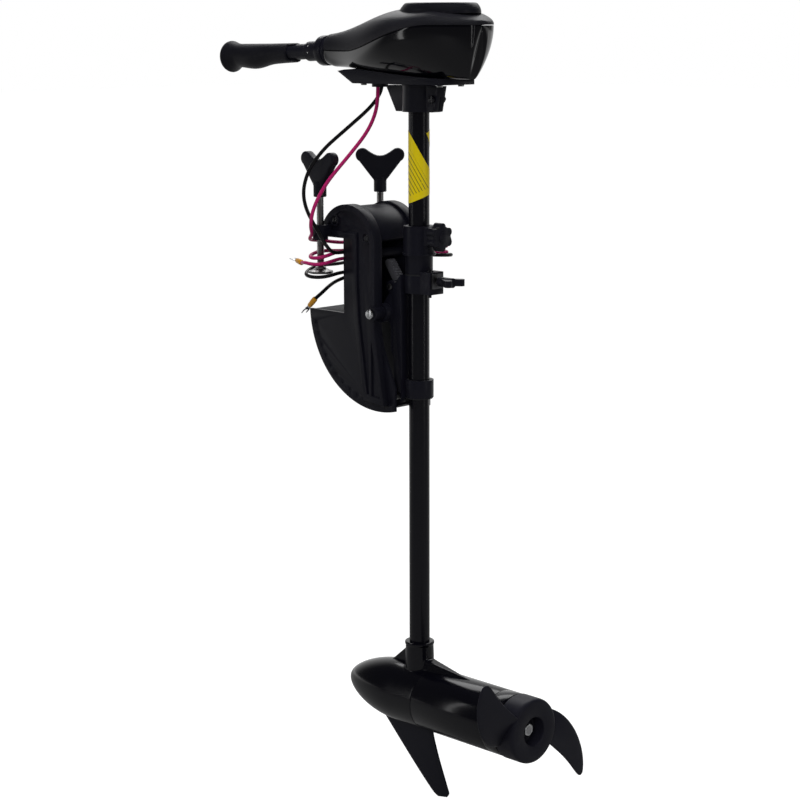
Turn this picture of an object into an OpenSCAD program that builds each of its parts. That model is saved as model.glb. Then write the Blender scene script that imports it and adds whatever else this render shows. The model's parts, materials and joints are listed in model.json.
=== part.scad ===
// Electric outboard motor for a small boat: clamp, swivel bracket, shaft, control head and motor pod.
// The origin is the middle of the clamp's seat on the transom edge. +Z runs up the shaft to the head,
// +X points from the clamp to the shaft and on to the propeller, +Y is the object's far side.
// The shaft is drawn tilted up for stowing: the clamp's mouth opens towards -X.

/* [Shaft] */
// Outer diameter of the shaft tube
shaft_d = 28; // [24:0.5:30]
// Wall of the shaft tube
shaft_wall = 2.5; // [1.5:0.25:3.5]
// Distance of the shaft axis from the transom seat
shaft_x = 110; // [108:1:116]
// Drop of the motor pod's axis below the seat
pod_drop = 581; // [480:1:700]

/* [Clamp] */
// Clear height of the clamp's mouth
mouth_h = 104; // [96:1:110]
// Clear width between the two side plates
plate_gap = 60; // [59:0.5:64]
// Thickness of the side plates' web
web_t = 5; // [4.5:0.5:6]
// Thickness that the raised arms add to the web
arm_t = 10; // [8:0.5:12]
// Radius of the arch over the mouth
arch_r = 53; // [51:0.5:56]
// Distance of the arch's centre from the seat
arch_x = 17; // [15:0.5:19]
// Width of the moulded rim round the arch
rim_w = 9; // [7:0.5:11]
// Radius of the sector that guards the tilt lock
sector_r = 135; // [132:0.5:138]
// Thickness of the seat wall and the arch's roof
wall_t = 8; // [6:0.5:9]
// Thickness of the transom pad
pad_plate_t = 8; // [6:0.5:8.5]
// Number of ridges on the transom pad
ridge_n = 8; // [5:1:12]

/* [Tilt hinge] */
// Distance of the tilt hinge from the seat
pivot_x = 66; // [65:0.5:67]
// Drop of the tilt hinge below the middle of the seat
pivot_drop = 46; // [45:0.5:48]
// Diameter of the tilt pin
pivot_d = 10; // [8:0.5:12]
// Diameter of the bracket's hinge barrel
barrel_d = 26; // [22:0.5:28]
// Angle between two tilt positions
notch_step = 7.5; // [6:0.5:9]
// Number of tilt positions after the first
notch_n = 12; // [8:1:12]
// Diameter of the lock pin
lock_d = 8; // [6:0.5:8]
// Travel of the lock pin into its notch
lock_travel = 8.4; // [7:0.2:9]

/* [Clamp screws] */
// Diameter of the two clamp screws
screw_d = 10; // [8:0.5:12]
// Distance of the screws from the object's middle plane
screw_y = 57; // [56:0.5:60]
// Distance of the screws in front of the seat
screw_x = 22; // [21:0.5:25]
// Diameter of the screw bosses
boss_d = 21; // [18:0.5:23]
// Diameter of the pressure feet
foot_d = 34; // [28:1:35]
// Height of the pressure feet's lower face above the middle of the seat
foot_z = 3; // [-10:1:6]
// Height of the wing knobs' lower face above the middle of the seat
knob_z = 107; // [104:1:114]
// Radius of the wing knobs' lobes
lobe_r = 10; // [8:0.5:11]

/* [Swivel bracket] */
// Outer diameter of the two swivel rings
ring_d = 39; // [38:0.5:40]
// Height of the swivel rings
ring_h = 24; // [20:1:26]
// Thickness of the bushes' wall
bush_t = 2.4; // [2:0.1:2.8]
// Top of the upper ring above the middle of the seat
ring_top = 7; // [4:0.5:8]
// Distance between the tops of the two rings
ring_pitch = 142; // [136:1:146]
// Width of the bracket's spine
spine_w = 40; // [36:1:44]

/* [Depth collar] */
// Outer diameter of the depth collar
collar_d = 42; // [38:0.5:46]
// Height of the depth collar's clamping part
collar_h = 38; // [32:1:44]
// Height of the collar's lower sleeve
sleeve_h = 26; // [20:1:30]
// Diameter of the depth knob
depth_knob_d = 38; // [30:1:42]

/* [Head] */
// Half width of the head at its widest
head_w = 64; // [58:1:70]
// Underside of the head's lower shell above the seat
head_base = 267; // [266:1:270]
// Wall of the head's two shells
shell_t = 3; // [2:0.25:4]
// Half length of the oval lid
lid_a = 60; // [52:1:64]
// Half width of the oval lid
lid_b = 46; // [40:1:50]
// Thickness of the oval lid
lid_t = 14; // [11:0.5:16]
// Height of the neck under the head
neck_h = 34; // [28:1:38]

/* [Tiller] */
// Downward slope of the tiller
tiller_slope = 2.4; // [1:0.1:5]
// Outer diameter of the tiller tube
tiller_d = 21.5; // [20:0.5:23]
// Length of the twist grip
grip_len = 134; // [120:1:145]
// Diameter of the twist grip at its inner end
grip_d = 28; // [27:0.5:31]
// Gap between the collar's face and the grip
grip_gap = 44; // [40:1:52]
// Travel of the telescoping tiller
tiller_travel = 120; // [80:1:130]

/* [Motor pod] */
// Outer diameter of the motor can
pod_d = 86.4; // [84:0.2:90]
// Wall of the motor can
can_wall = 3.4; // [2.5:0.1:4]
// Length of the nose casting
nose_len = 158; // [150:1:168]
// Length of the motor can
can_len = 131; // [124:1:150]
// Length of the rear end cap
cap_len = 23; // [20:0.5:26]
// Diameter of the motor shaft
motor_shaft_d = 10; // [8:0.5:12]
// Diameter of the armature
armature_d = 62; // [56:0.5:64]
// Thickness of the magnets
magnet_t = 6.5; // [5:0.5:7]
// Height of the nose casting's shaft socket above the pod's axis
socket_h = 79; // [72:1:88]
// Thickness of the skeg
skeg_t = 6; // [4:0.5:8]

/* [Propeller] */
// Diameter of the propeller
prop_d = 260; // [230:1:270]
// Diameter of the propeller's hub
hub_d = 88; // [86:0.5:92]
// Length of the propeller's hub
hub_len = 32; // [30:0.5:38]
// Advance of the blades in one turn
blade_pitch = 150; // [120:1:160]
// Thickness of the blades at the root
blade_t = 6; // [4.5:0.25:7]

/* [Hidden] */
$fn = 64;
fit = 0.06;          // radial clearance of a running fit
gap = 0.3;           // clearance between pieces that move past each other

// Clamp
half_gap = plate_gap / 2;
web_y = half_gap + web_t;
arm_y = web_y + arm_t;
mouth_top = mouth_h / 2;
arch_z = mouth_top - 7;
pivot_z = -pivot_drop;
boss_z = mouth_top + 7;
boss_h = 20;
pad_len = 66;
arm_front = 27;

// Tilt lock: the pin hangs this far behind the hinge and this far below it while it is released
lock_x = 24;
lock_z = -112.5;
lock_swing_r = norm([lock_x, lock_z]);
lock_edge = pivot_x + lock_x + lock_d / 2 + gap;

// Swivel bracket
shaft_r = shaft_d / 2;
bush_r = shaft_r + bush_t;
low_ring_top = ring_top - ring_pitch;
spine_x = pivot_x + 10;
spine_low_x = spine_x + 6;
lever_x = 76;
lever_z = -10;
lever_arm = pivot_x + lock_x - lever_x;
lever_tip = [-20, 29];
rod_r = 2.4;
tension_z = 1;
tension_x = shaft_x + ring_d / 2;
knob_screw_d = 8;

// Depth collar
sleeve_z = ring_top + 1.8;
collar_z = sleeve_z + sleeve_h;
collar_r = collar_d / 2;
depth_z = collar_z + collar_h - 13;
lug_x = shaft_x + collar_r - 5;
lug_len = 14;

// Head
shaft_top = head_base - 5;
neck_top = head_base - 10;
neck_z = neck_top - neck_h;
plate_z = neck_top + 2;
tiller_x = -81;
tiller_z = head_base + 33.5;
tiller_collar_r = 20.5;
head_len = 278;
head_front = -55;
collar_face = -5.4;
index_len = 25;
grip_start = 14 + grip_gap;
plate_rear = head_front + head_len * 0.838;
lid_x = head_front + head_len * 0.73;
lid_z = head_base + 83;
drive_d = 14;
spindle_d = 8;
spindle_flat = 3.2;

// Pod
pod_r = pod_d / 2;
pod_z = -pod_drop;
seam_x = shaft_x + 24;
nose_x = seam_x - nose_len;
cap_x = seam_x + can_len;
hub_x = cap_x + cap_len + 2;
can_inner_r = pod_r - can_wall;
carrier_r = pod_r - 6;
socket_r = shaft_r + 5.3;
shaft_bottom = pod_z + pod_r - 4.8;
armature_x = seam_x + 18;
armature_len = 62;
commutator_x = armature_x + armature_len + 10;
blade_tip_r = prop_d / 2;

// Wires: hand-laid routes from the gland to the hank, and from the hank to the terminals
wire_d = 5;
wire_gap = 4;
wire_exit_x = 37;
red_route = [[37, -4, 262], [37, -4, 250], [42, -12, 224], [41, -28, 196], [25, -46, 165], [8, -68, 132],
    [-1, -82, 105], [-5, -89, 76], [-8, -85, 58], [-8, -78, 44]];
black_route = [[37, 4, 262], [37, 4, 250], [28, -8, 228], [5, -31, 199], [-8, -59, 174], [-12, -70, 161],
    [-20, -77, 147], [-28, -82, 118], [-24, -81, 92], [-8, -77, 66], [0, -70, 42]];
red_tail = [[-38, -72, 18], [-47, -66, 16], [-55, -62, 15]];
black_tail = [[-4, -68, 2], [-8, -64, -8], [-18, -61, -20], [-31, -60, -33]];
hank_z = -5;
hank_h = 52;
hank_line = [[-44, -57], [-41, -68], [-33, -76], [-22, -79], [-11, -76], [-3, -68], [0, -57], [-6, -36],
    [-6, 36], [-1, 49], [10, 54], [78, 54], [87, 57], [90, 66], [86, 75], [76, 78], [-22, 79], [-33, 76],
    [-41, 68], [-44, 57]];

// Places body geometry with its local +Z along the tiller, from the collar outwards
module on_tiller(along = 0) {
    translate([tiller_x, 0, tiller_z]) rotate([0, -90 - tiller_slope, 0]) translate([0, 0, along]) children();
}

// Places local +Z along the motor shaft (+X), starting at x
module on_motor(x = 0) {
    translate([x, 0, pod_z]) rotate([0, 90, 0]) children();
}

// Extrudes a profile drawn in X and Z from y0 to y1
module slab(y0, y1) {
    translate([0, y1, 0]) rotate([90, 0, 0]) linear_extrude(y1 - y0) children();
}

// A round bar along Y
module bar_y(x, z, r, y0, y1) {
    translate([x, y0, z]) rotate([-90, 0, 0]) cylinder(r = r, h = y1 - y0);
}

// A round bar along X
module bar_x(y, z, r, x0, x1) {
    translate([x0, y, z]) rotate([0, 90, 0]) cylinder(r = r, h = x1 - x0);
}

// A tube along the current Z axis
module tube(r_out, r_in, h) {
    difference() {
        cylinder(r = r_out, h = h);
        translate([0, 0, -1]) cylinder(r = r_in, h = h + 2);
    }
}

// A bar with round ends between two points of a plane
module rounded_link(a, b, r) {
    translate(a) circle(r);
    translate(b) circle(r);
    translate(a) rotate(atan2(b[1] - a[1], b[0] - a[0])) translate([0, -r]) square([norm(b - a), 2 * r]);
}

// The same bar as one many-sided outline
module moulded_link(a, b, r) {
    sides = 16;
    way = atan2(b[1] - a[1], b[0] - a[0]);
    polygon(concat(
        [for (i = [0:sides]) b + r * [cos(way - 90 + 180 * i / sides), sin(way - 90 + 180 * i / sides)]],
        [for (i = [0:sides]) a + r * [cos(way + 90 + 180 * i / sides), sin(way + 90 + 180 * i / sides)]]));
}

// ---- clamp ----

// Outline of the arm: the arch over the mouth and the tapering beam behind it
module arm_outline(inset = 0) {
    difference() {
        translate([arch_x, arch_z]) circle(arch_r - inset);
        translate([-100, mouth_top + inset - 100]) square([100 + arm_front + inset, 100]);
        translate([-100, arch_z - 100]) square([200, 100]);
    }
    polygon([
        [arm_front + inset, mouth_top + inset + 1],
        [arm_front + inset, pivot_z + 36],
        [arm_front + 3 + inset, pivot_z - 9],
        [arm_front + 20 + inset * 0.8, pivot_z - 120 + inset],
        [pivot_x + 21 - inset * 0.8, pivot_z - 124 + inset],
        [pivot_x + 3 - inset, pivot_z - 22],
        [arch_x + arch_r - inset, arch_z - 2],
        [arch_x + arch_r - inset, arch_z + 1]]);
}

// Outline of the web: the seat strip and the sector that guards the tilt lock
module web_outline() {
    translate([0, pivot_z - 10]) square([arm_front + 20, mouth_top - pivot_z + 16]);
    intersection() {
        translate([pivot_x, pivot_z]) circle(sector_r);
        polygon([[-pad_len - 4, -mouth_top], [-pad_len - 4, -200], [pivot_x + 31, -200],
            [pivot_x + 31, pivot_z - 100], [pivot_x - 10, -mouth_top]]);
    }
}

// One notch for the lock pin: a short slot out of the groove and a hole that shows on the outside
module notch_cut(k) {
    translate([pivot_x, 0, pivot_z]) rotate([0, k * notch_step, 0]) {
        slab(half_gap - 1, half_gap + 3)
            rounded_link([lock_x, lock_z], [lock_x, lock_z - lock_travel], lock_d / 2 + 0.25);
        bar_y(lock_x, lock_z - lock_travel, lock_d / 2 - 1.2, half_gap, web_y + 1);
    }
}

// Arc groove in the inner face, where the released lock pin swings
module swing_groove() {
    groove = lock_d / 2 + 0.4;
    intersection() {
        difference() {
            bar_y(pivot_x, pivot_z, lock_swing_r + groove, half_gap - 1, half_gap + 3);
            bar_y(pivot_x, pivot_z, lock_swing_r - groove, half_gap - 2, half_gap + 4);
        }
        slab(half_gap - 3, half_gap + 5)
            polygon([[pivot_x, pivot_z], [pivot_x + 40, pivot_z - 150], [pivot_x - 160, pivot_z - 150],
                [pivot_x - 160, pivot_z - 12]]);
    }
}

// The far plate; the near one is its mirror image
module side_plate() {
    difference() {
        union() {
            slab(half_gap, web_y) web_outline();
            slab(half_gap, arm_y) arm_outline();
            slab(web_y - 1, arm_y) intersection() {
                arm_outline();
                polygon([[pivot_x - 25, -200], [pivot_x - 25, 0], [pivot_x + 60, 0], [pivot_x + 60, -200]]);
            }
            bar_y(pivot_x, pivot_z, pivot_d / 2 + 5, half_gap, arm_y + 2.5);
            translate([-screw_x, screw_y, boss_z - boss_h / 2]) cylinder(d = boss_d, h = boss_h);
            translate([-screw_x - boss_d / 2, web_y, boss_z - 4]) cube([boss_d, screw_y - web_y, boss_h / 2 + 4]);
        }
        slab(arm_y - 3, arm_y + 1) pocket_outline();
        bar_y(pivot_x, pivot_z, pivot_d / 2 + fit, half_gap - 1, arm_y + 4);
        translate([-screw_x, screw_y, boss_z - boss_h]) cylinder(r = screw_d / 2 + fit, h = 2 * boss_h);
        for (p = bridge_bolt_places()) {
            bar_y(p[0], p[1], 3, half_gap - 1, arm_y + 1);
            bar_y(p[0], p[1], 5.8, arm_y - 3, arm_y + 1);
        }
        for (k = [0:notch_n]) notch_cut(k);
        swing_groove();
    }
}

// Shallow pockets in the arm's outer face, inside its rim
module pocket_outline() {
    difference() {
        arm_outline(rim_w);
        translate([pivot_x, pivot_z]) circle(pivot_d / 2 + 9);
        translate([pivot_x - 7, pivot_z - 130]) square([4, 120]);
        for (p = bridge_bolt_places()) translate([p[0], p[1]]) circle(8);
    }
}

function bridge_bolt_places() = [[arch_x - 24, arch_z + 30], [arch_x + 37, arch_z + 10]];

module side_plate_left() { color([0.09, 0.09, 0.1]) mirror([0, 1, 0]) side_plate(); }
module side_plate_right() { color([0.09, 0.09, 0.1]) side_plate(); }

// Seat wall and arched roof between the plates
module clamp_bridge() {
    roof_r = arch_r - 3;
    color([0.08, 0.08, 0.09]) difference() {
        slab(-half_gap, half_gap) union() {
            difference() {
                translate([arch_x, arch_z]) circle(roof_r);
                translate([arch_x, arch_z]) circle(roof_r - wall_t);
                translate([-100, arch_z - 100]) square([200, 100 + mouth_top - arch_z]);
            }
            translate([arch_x - roof_r + 3, mouth_top]) square([roof_r - 3 - arch_x + wall_t, wall_t]);
            translate([0, -mouth_top - 2]) square([wall_t, mouth_h + 6]);
            for (p = bridge_bolt_places()) translate([p[0], p[1]]) circle(7);
        }
        for (p = bridge_bolt_places()) bar_y(p[0], p[1], 3, -half_gap - 1, half_gap + 1);
    }
}

// Ridged pad that bears on the transom's outer face
module transom_pad() {
    ridge = pad_len / ridge_n;
    color([0.12, 0.12, 0.13]) slab(-half_gap, half_gap) polygon(concat(
        [[0, -mouth_top - pad_plate_t], [0, -mouth_top - 3]],
        [for (i = [0:ridge_n - 1], s = [0, 1]) [-(i + s * 0.6) * ridge - 0.4, -mouth_top - (s == 0 ? 3 : 0)]],
        [[-pad_len, -mouth_top - 3], [-pad_len, -mouth_top - pad_plate_t]]));
}

// Tube that keeps the plates apart behind the arch
module spacer_tube() {
    color([0.07, 0.07, 0.08]) translate([arch_x + 34, -half_gap, arch_z - 12]) rotate([-90, 0, 0])
        tube(6.5, 3.2, plate_gap);
}

// Two cross bolts with their nuts, and the bolt through the spacer
module bridge_bolts() {
    color([0.7, 0.71, 0.72]) for (p = bridge_bolt_places()) {
        bar_y(p[0], p[1], 2.9, -arm_y + 3, arm_y - 3);
        bar_y(p[0], p[1], 5, -arm_y + 0.5, -arm_y + 3);
        translate([p[0], arm_y - 3, p[1]]) rotate([-90, 0, 0]) cylinder(r = 5.5, h = 4, $fn = 6);
    }
}

// Bolt on which the bracket tilts, with its nut
module tilt_pin() {
    color([0.75, 0.76, 0.77]) {
        bar_y(pivot_x, pivot_z, pivot_d / 2, -arm_y - 2.5, arm_y + 2.5);
        bar_y(pivot_x, pivot_z, pivot_d / 2 + 1.5, -arm_y - 6.5, -arm_y - 2.5);
        translate([pivot_x, arm_y + 2.5, pivot_z]) rotate([-90, 0, 0]) cylinder(r = 8.5, h = 6, $fn = 6);
    }
}

// ---- clamp screws ----

module clamp_screw(side) {
    color([0.72, 0.72, 0.7]) translate([-screw_x, side * screw_y, 0]) {
        translate([0, 0, foot_z + 3]) cylinder(d = screw_d, h = knob_z + 20 - foot_z - 3);
        translate([0, 0, foot_z + 6 + fit]) cylinder(d = screw_d + 5, h = 2.5);
    }
}

// Outline of the knob's two wings: a round lobe on each side and a shallow dip between them
function wing_outline() = let(x = 34 - lobe_r, z = 60.5 - lobe_r, stem = 7.5,
    lobe = [for (i = [0:12]) let(a = -62 + 192 * i / 12) [x + lobe_r * cos(a), z + lobe_r * sin(a)]])
    concat([[-stem, 16], [stem, 16], [x - 5, 27]], lobe, [[0, z - 1]],
        [for (i = [12:-1:0]) [-lobe[i][0], lobe[i][1]]], [[5 - x, 27]]);

// Two-winged knob on a round stem; turn is the angle of its wings
module clamp_knob(side, turn) {
    color([0.1, 0.1, 0.11]) translate([-screw_x, side * screw_y, knob_z]) rotate([0, 0, turn]) difference() {
        union() {
            cylinder(r = 7.5, h = 20);
            slab(-6.5, 6.5) polygon(wing_outline());
        }
        translate([0, 0, -1]) cylinder(d = screw_d, h = 21);
    }
}

// Pressure foot, held on the screw's end and free to stay still while the screw turns
module pressure_foot(side) {
    color([0.68, 0.68, 0.66]) translate([-screw_x, side * screw_y, foot_z]) difference() {
        cylinder(d = foot_d, h = 6);
        translate([0, 0, 3 - fit]) cylinder(r = screw_d / 2 + fit, h = 10);
    }
}

module screw_left() { clamp_screw(-1); }
module screw_right() { clamp_screw(1); }
module wing_knob_left() { clamp_knob(-1, -3); }
module wing_knob_right() { clamp_knob(1, 45); }
module foot_left() { pressure_foot(-1); }
module foot_right() { pressure_foot(1); }

// ---- swivel bracket ----

// Side view of the bracket's spine, with its gusset to the upper ring and its chamfered foot
module spine_outline() {
    polygon([
        [shaft_x - 16, ring_top], [pivot_x - 3, pivot_z + 14], [pivot_x - 3, pivot_z - 6],
        [spine_x, pivot_z - 16], [spine_x, pivot_z - 52], [spine_low_x, pivot_z - 60],
        [spine_low_x, pivot_z - 130], [shaft_x - 18, pivot_z - 124],
        [shaft_x - 11, low_ring_top - ring_h], [shaft_x - 15, low_ring_top],
        [shaft_x - 15, ring_top]]);
}

module swivel_bracket() {
    color([0.1, 0.1, 0.11]) difference() {
        union() {
            slab(-spine_w / 2, spine_w / 2) spine_outline();
            for (z = [ring_top, low_ring_top])
                translate([shaft_x, 0, z - ring_h]) cylinder(d = ring_d, h = ring_h);
            bar_y(pivot_x, pivot_z, barrel_d / 2, -half_gap + gap, half_gap - gap);
            bar_y(lever_x, lever_z, 8, -spine_w / 2, spine_w / 2);
            translate([tension_x - 5, -13, ring_top - ring_h]) cube([18, 26, ring_h + 6]);
        }
        for (z = [ring_top, low_ring_top])
            translate([shaft_x, 0, z - ring_h - 1]) cylinder(r = bush_r, h = ring_h + 10);
        translate([shaft_x, 0, low_ring_top]) cylinder(r = shaft_r + 1.5, h = ring_pitch - ring_h + 1);
        bar_y(pivot_x, pivot_z, pivot_d / 2 + fit, -half_gap, half_gap);
        bar_y(lever_x, lever_z, 2.5, -spine_w / 2 - 1, spine_w / 2 + 1);
        translate([lever_x - 60, -6.5, lever_z - 14]) cube([shaft_x - bush_r - 0.2 - lever_x + 60, 13, 60]);
        translate([lever_x + lever_arm, 0, pivot_z - 140]) cylinder(r = rod_r + 0.6, h = lever_z - pivot_z + 130);
        translate([shaft_x, 0, ring_top]) cylinder(r = collar_r - 2, h = 20);
        translate([shaft_x, 0, low_ring_top - ring_h - 30]) cylinder(r = bush_r + 2.5, h = 30);
        slab(-spine_w / 2 - 1, spine_w / 2 + 1) rounded_link([pivot_x + lock_x, pivot_z + lock_z + 0.5],
            [pivot_x + lock_x, pivot_z + lock_z - lock_travel - 0.5], lock_d / 2 + fit);
        translate([tension_x + 3, -10 - gap, tension_z - 10 - gap]) cube([20, 20 + 2 * gap, 20 + 2 * gap]);
        bar_x(0, tension_z, knob_screw_d / 2 + 0.2, shaft_x, tension_x + 20);
        translate([tension_x + 8, -7.5, -60]) cylinder(r = 2.3, h = 120);
        for (i = [0:6]) bar_y(spine_x + 4, pivot_z - 22 - i * 6.6, 0.9, -spine_w / 2 - 1, -spine_w / 2 + 1);
    }
}

// Flanged plastic bush between a swivel ring and the shaft
module swivel_bush(top, flange_up) {
    color([0.16, 0.16, 0.17]) translate([shaft_x, 0, top - ring_h]) difference() {
        union() {
            cylinder(r = bush_r, h = ring_h);
            if (flange_up) translate([0, 0, ring_h]) cylinder(r = bush_r + 2, h = 1.5);
            else translate([0, 0, -1.5]) cylinder(r = bush_r + 2, h = 1.5);
        }
        translate([0, 0, -2]) cylinder(r = shaft_r + fit, h = ring_h + 4);
        if (flange_up) translate([0, 0, tension_z - top + ring_h]) rotate([0, 90, 0])
            cylinder(r = knob_screw_d / 2 + 0.2, h = 40);
        else translate([lock_edge - shaft_x - 10, -20, -5])
            cube([10, 40, pivot_z + lock_z + lock_d / 2 + gap - top + ring_h + 5]);
    }
}

module swivel_bushes() {
    swivel_bush(ring_top, true);
    swivel_bush(low_ring_top, false);
}

// Square nut of the tension screw, captive in the ring's boss
module tension_nut() {
    color([0.6, 0.6, 0.6]) difference() {
        translate([tension_x + 3, -10, tension_z - 10]) cube([12, 20, 20]);
        bar_x(0, tension_z, knob_screw_d / 2 + fit, tension_x, tension_x + 30);
        translate([tension_x + 8, -7.5, -30]) cylinder(r = 2.3, h = 60);
    }
}

module tension_nut_pin() {
    color([0.1, 0.1, 0.1]) translate([tension_x + 8, -7.5, ring_top - ring_h - 4])
        cylinder(r = 2.25, h = ring_h + 14);
}

module tension_screw() {
    color([0.72, 0.72, 0.7])
        bar_x(0, tension_z, knob_screw_d / 2, shaft_x + bush_r, tension_x + 38);
}

module tension_knob() {
    color([0.1, 0.1, 0.11]) translate([tension_x + 19, 0, tension_z]) difference() {
        union() {
            rotate([0, 90, 0]) cylinder(r = 6.5, h = 24);
            translate([0, 0, -4.5]) linear_extrude(9) {
                rounded_link([11, -2], [27, -12], 5);
                rounded_link([11, 2], [27, 12], 5);
            }
        }
        bar_x(0, 0, knob_screw_d / 2, -1, 19);
    }
}

// Shoe at the end of a knob's screw, rounded to the shaft it presses on
module shaft_shoe(z, r, back) {
    color([0.8, 0.8, 0.78]) difference() {
        bar_x(0, z, r, shaft_x + shaft_r - 1, shaft_x + back - fit);
        translate([shaft_x, 0, z - 10]) cylinder(r = shaft_r + 0.1, h = 20);
    }
}

module tension_shoe() { shaft_shoe(tension_z, knob_screw_d / 2, bush_r); }

// Ridged release lever; a slot in its short arm drives the pull rod
module tilt_lever() {
    color([0.3, 0.3, 0.31]) difference() {
        slab(-6, 6) difference() {
            union() {
                moulded_link([lever_x, lever_z], [lever_x, lever_z] + lever_tip, 5);
                rounded_link([lever_x, lever_z], [lever_x + lever_arm - 1.5, lever_z], 4.2);
                translate([lever_x, lever_z]) rotate(atan2(lever_tip[1], lever_tip[0]))
                    for (i = [0:5]) translate([13.5 + i * 3.8, -4.6]) circle(1.4, $fn = 10);
            }
            translate([lever_x, lever_z]) circle(2.5 + fit);
            translate([lever_x + lever_arm - 3, lever_z - 2]) square([12, 4]);
        }
        translate([lever_x + lever_arm - 4, -rod_r - gap, lever_z - 10]) cube([12, 2 * (rod_r + gap), 20]);
    }
}

module lever_pin() {
    color([0.75, 0.76, 0.77]) {
        bar_y(lever_x, lever_z, 2.5, -spine_w / 2 - 1, spine_w / 2 + 1);
        bar_y(lever_x, lever_z, 4.2, -spine_w / 2 - 3, -spine_w / 2 - 1);
    }
}

module lock_pin() {
    color([0.7, 0.7, 0.7]) bar_y(pivot_x + lock_x, pivot_z + lock_z, lock_d / 2, -half_gap - 2.4, half_gap + 2.4);
}

// Rod from the lever's slot down the spine to the lock pin
module pull_rod() {
    foot = pivot_z + lock_z;
    color([0.66, 0.66, 0.66]) difference() {
        union() {
            translate([lever_x + lever_arm, 0, foot - 3]) cylinder(r = rod_r, h = lever_z - foot + 4.5);
            bar_y(lever_x + lever_arm, lever_z, 1.5, -5.8, 5.8);
        }
        bar_y(pivot_x + lock_x, foot, lock_d / 2, -10, 10);
    }
}

// ---- depth collar ----

module depth_collar() {
    color([0.09, 0.09, 0.1]) difference() {
        union() {
            translate([shaft_x, 0, sleeve_z]) cylinder(r = collar_r - 2.5, h = sleeve_h + 1);
            translate([shaft_x, 0, collar_z]) cylinder(r = collar_r, h = collar_h);
            translate([shaft_x, 0, collar_z - 1]) cylinder(r = collar_r + 1.3, h = 3);
            translate([shaft_x - collar_r - 4, -5, collar_z + 2]) cube([10, 10, collar_h - 6]);
            translate([lug_x, -10, depth_z - 12]) cube([lug_len, 20, 24]);
        }
        translate([shaft_x, 0, sleeve_z - 1]) cylinder(r = shaft_r + fit, h = collar_h + sleeve_h + 2);
        bar_x(0, depth_z, knob_screw_d / 2 + fit, shaft_x, lug_x + lug_len + 1);
        translate([shaft_x - collar_r - 5, -1, collar_z + 3]) cube([12, 2, collar_h]);
    }
}

module depth_screw() {
    color([0.72, 0.72, 0.7])
        bar_x(0, depth_z, knob_screw_d / 2, shaft_x + shaft_r + 4, lug_x + lug_len + 10);
}

// Six-lobed knob of the depth screw
module depth_knob() {
    color([0.1, 0.1, 0.11]) translate([lug_x + lug_len + 1, 0, depth_z]) rotate([0, 90, 0]) difference() {
        union() {
            cylinder(r = depth_knob_d / 2 - 4, h = 13);
            cylinder(r = 7, h = 14.5);
            for (a = [0:60:300]) rotate([0, 0, a]) translate([depth_knob_d / 2 - 5.5, 0, 0]) cylinder(r = 5.5, h = 13);
        }
        translate([0, 0, -1]) cylinder(r = knob_screw_d / 2, h = 10);
    }
}

module depth_shoe() { shaft_shoe(depth_z, knob_screw_d / 2, shaft_r + 4); }

// ---- shaft ----

module shaft_tube() {
    color([0.05, 0.05, 0.055]) translate([shaft_x, 0, shaft_bottom])
        tube(shaft_r, shaft_r - shaft_wall, shaft_top - shaft_bottom);
}

// Three insulated leads inside the shaft
module shaft_leads() {
    color([0.5, 0.1, 0.12]) for (a = [90:120:330])
        translate([shaft_x + 4.5 * cos(a), 4.5 * sin(a), shaft_bottom + 2])
            cylinder(r = 2.6, h = shaft_top - shaft_bottom + 4);
}

// Slanting marker tape on the shaft below the head
module marker_tape() {
    color([0.93, 0.85, 0.1]) intersection() {
        translate([shaft_x, 0, 95]) tube(shaft_r + 0.25, shaft_r, 110);
        translate([shaft_x, 0, 0]) rotate([0, 0, 45]) rotate([90, 0, 0]) linear_extrude(40)
            polygon([[-20, 209], [20, 138], [20, 117], [-20, 100]]);
    }
}

// ---- head ----

// Clamp under the head: a socket on the shaft with two tapering wings
module neck_clamp() {
    color([0.1, 0.1, 0.11]) difference() {
        union() {
            translate([shaft_x, 0, neck_z]) cylinder(r = shaft_r + 8, h = neck_h);
            slab(-8, 8) polygon([[shaft_x - 35, neck_z], [shaft_x - 54, neck_top], [shaft_x + 43, neck_top],
                [shaft_x + 36, neck_z + 1], [shaft_x + 32, neck_z]]);
            translate([shaft_x, 0, neck_top]) cylinder(r = shaft_r + 9, h = 2);
        }
        translate([shaft_x, 0, neck_z - 1]) cylinder(r = shaft_r, h = neck_h + 4);
        bar_y(shaft_x + 33, neck_z + neck_h / 2, 2.7, -9, 9);
        translate([shaft_x + 10, -0.8, neck_z - 1]) cube([30, 1.6, neck_h - 6]);
    }
}

module neck_screw() {
    color([0.7, 0.7, 0.72]) {
        bar_y(shaft_x + 33, neck_z + neck_h / 2, 2.65, -8, 12);
        bar_y(shaft_x + 33, neck_z + neck_h / 2, 5, -12, -8);
        translate([shaft_x + 33, 8, neck_z + neck_h / 2]) rotate([-90, 0, 0]) cylinder(r = 5, h = 4.5, $fn = 6);
    }
}

// Plate under the head, with its raised lip in front and the gland for the two wires
module base_plate() {
    color([0.08, 0.08, 0.09]) difference() {
        union() {
            slab(-34, 34) polygon(concat([[-10, head_base + 8], [19, plate_z], [plate_rear, plate_z]],
                [for (i = [0:8]) let(x = mix(plate_rear, 6, i / 8)) [x, head_low((x - head_front) / head_len) - 0.4]]));
            translate([wire_exit_x, 0, plate_z - 5]) cylinder(r = 11, h = 6);
        }
        translate([shaft_x, 0, plate_z - 1]) cylinder(r = shaft_r, h = 40);
        for (y = [-1, 1]) translate([wire_exit_x, y * wire_gap, plate_z - 10]) cylinder(r = wire_d / 2, h = 40);
        for (p = cover_screw_places()) translate([p[0], p[1], head_base - 60]) cylinder(r = 2.2, h = 90);
    }
}

function cover_screw_places() = [for (along = [0.293, 0.8], y = [-20, 20]) [head_front + head_len * along, y]];

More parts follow.
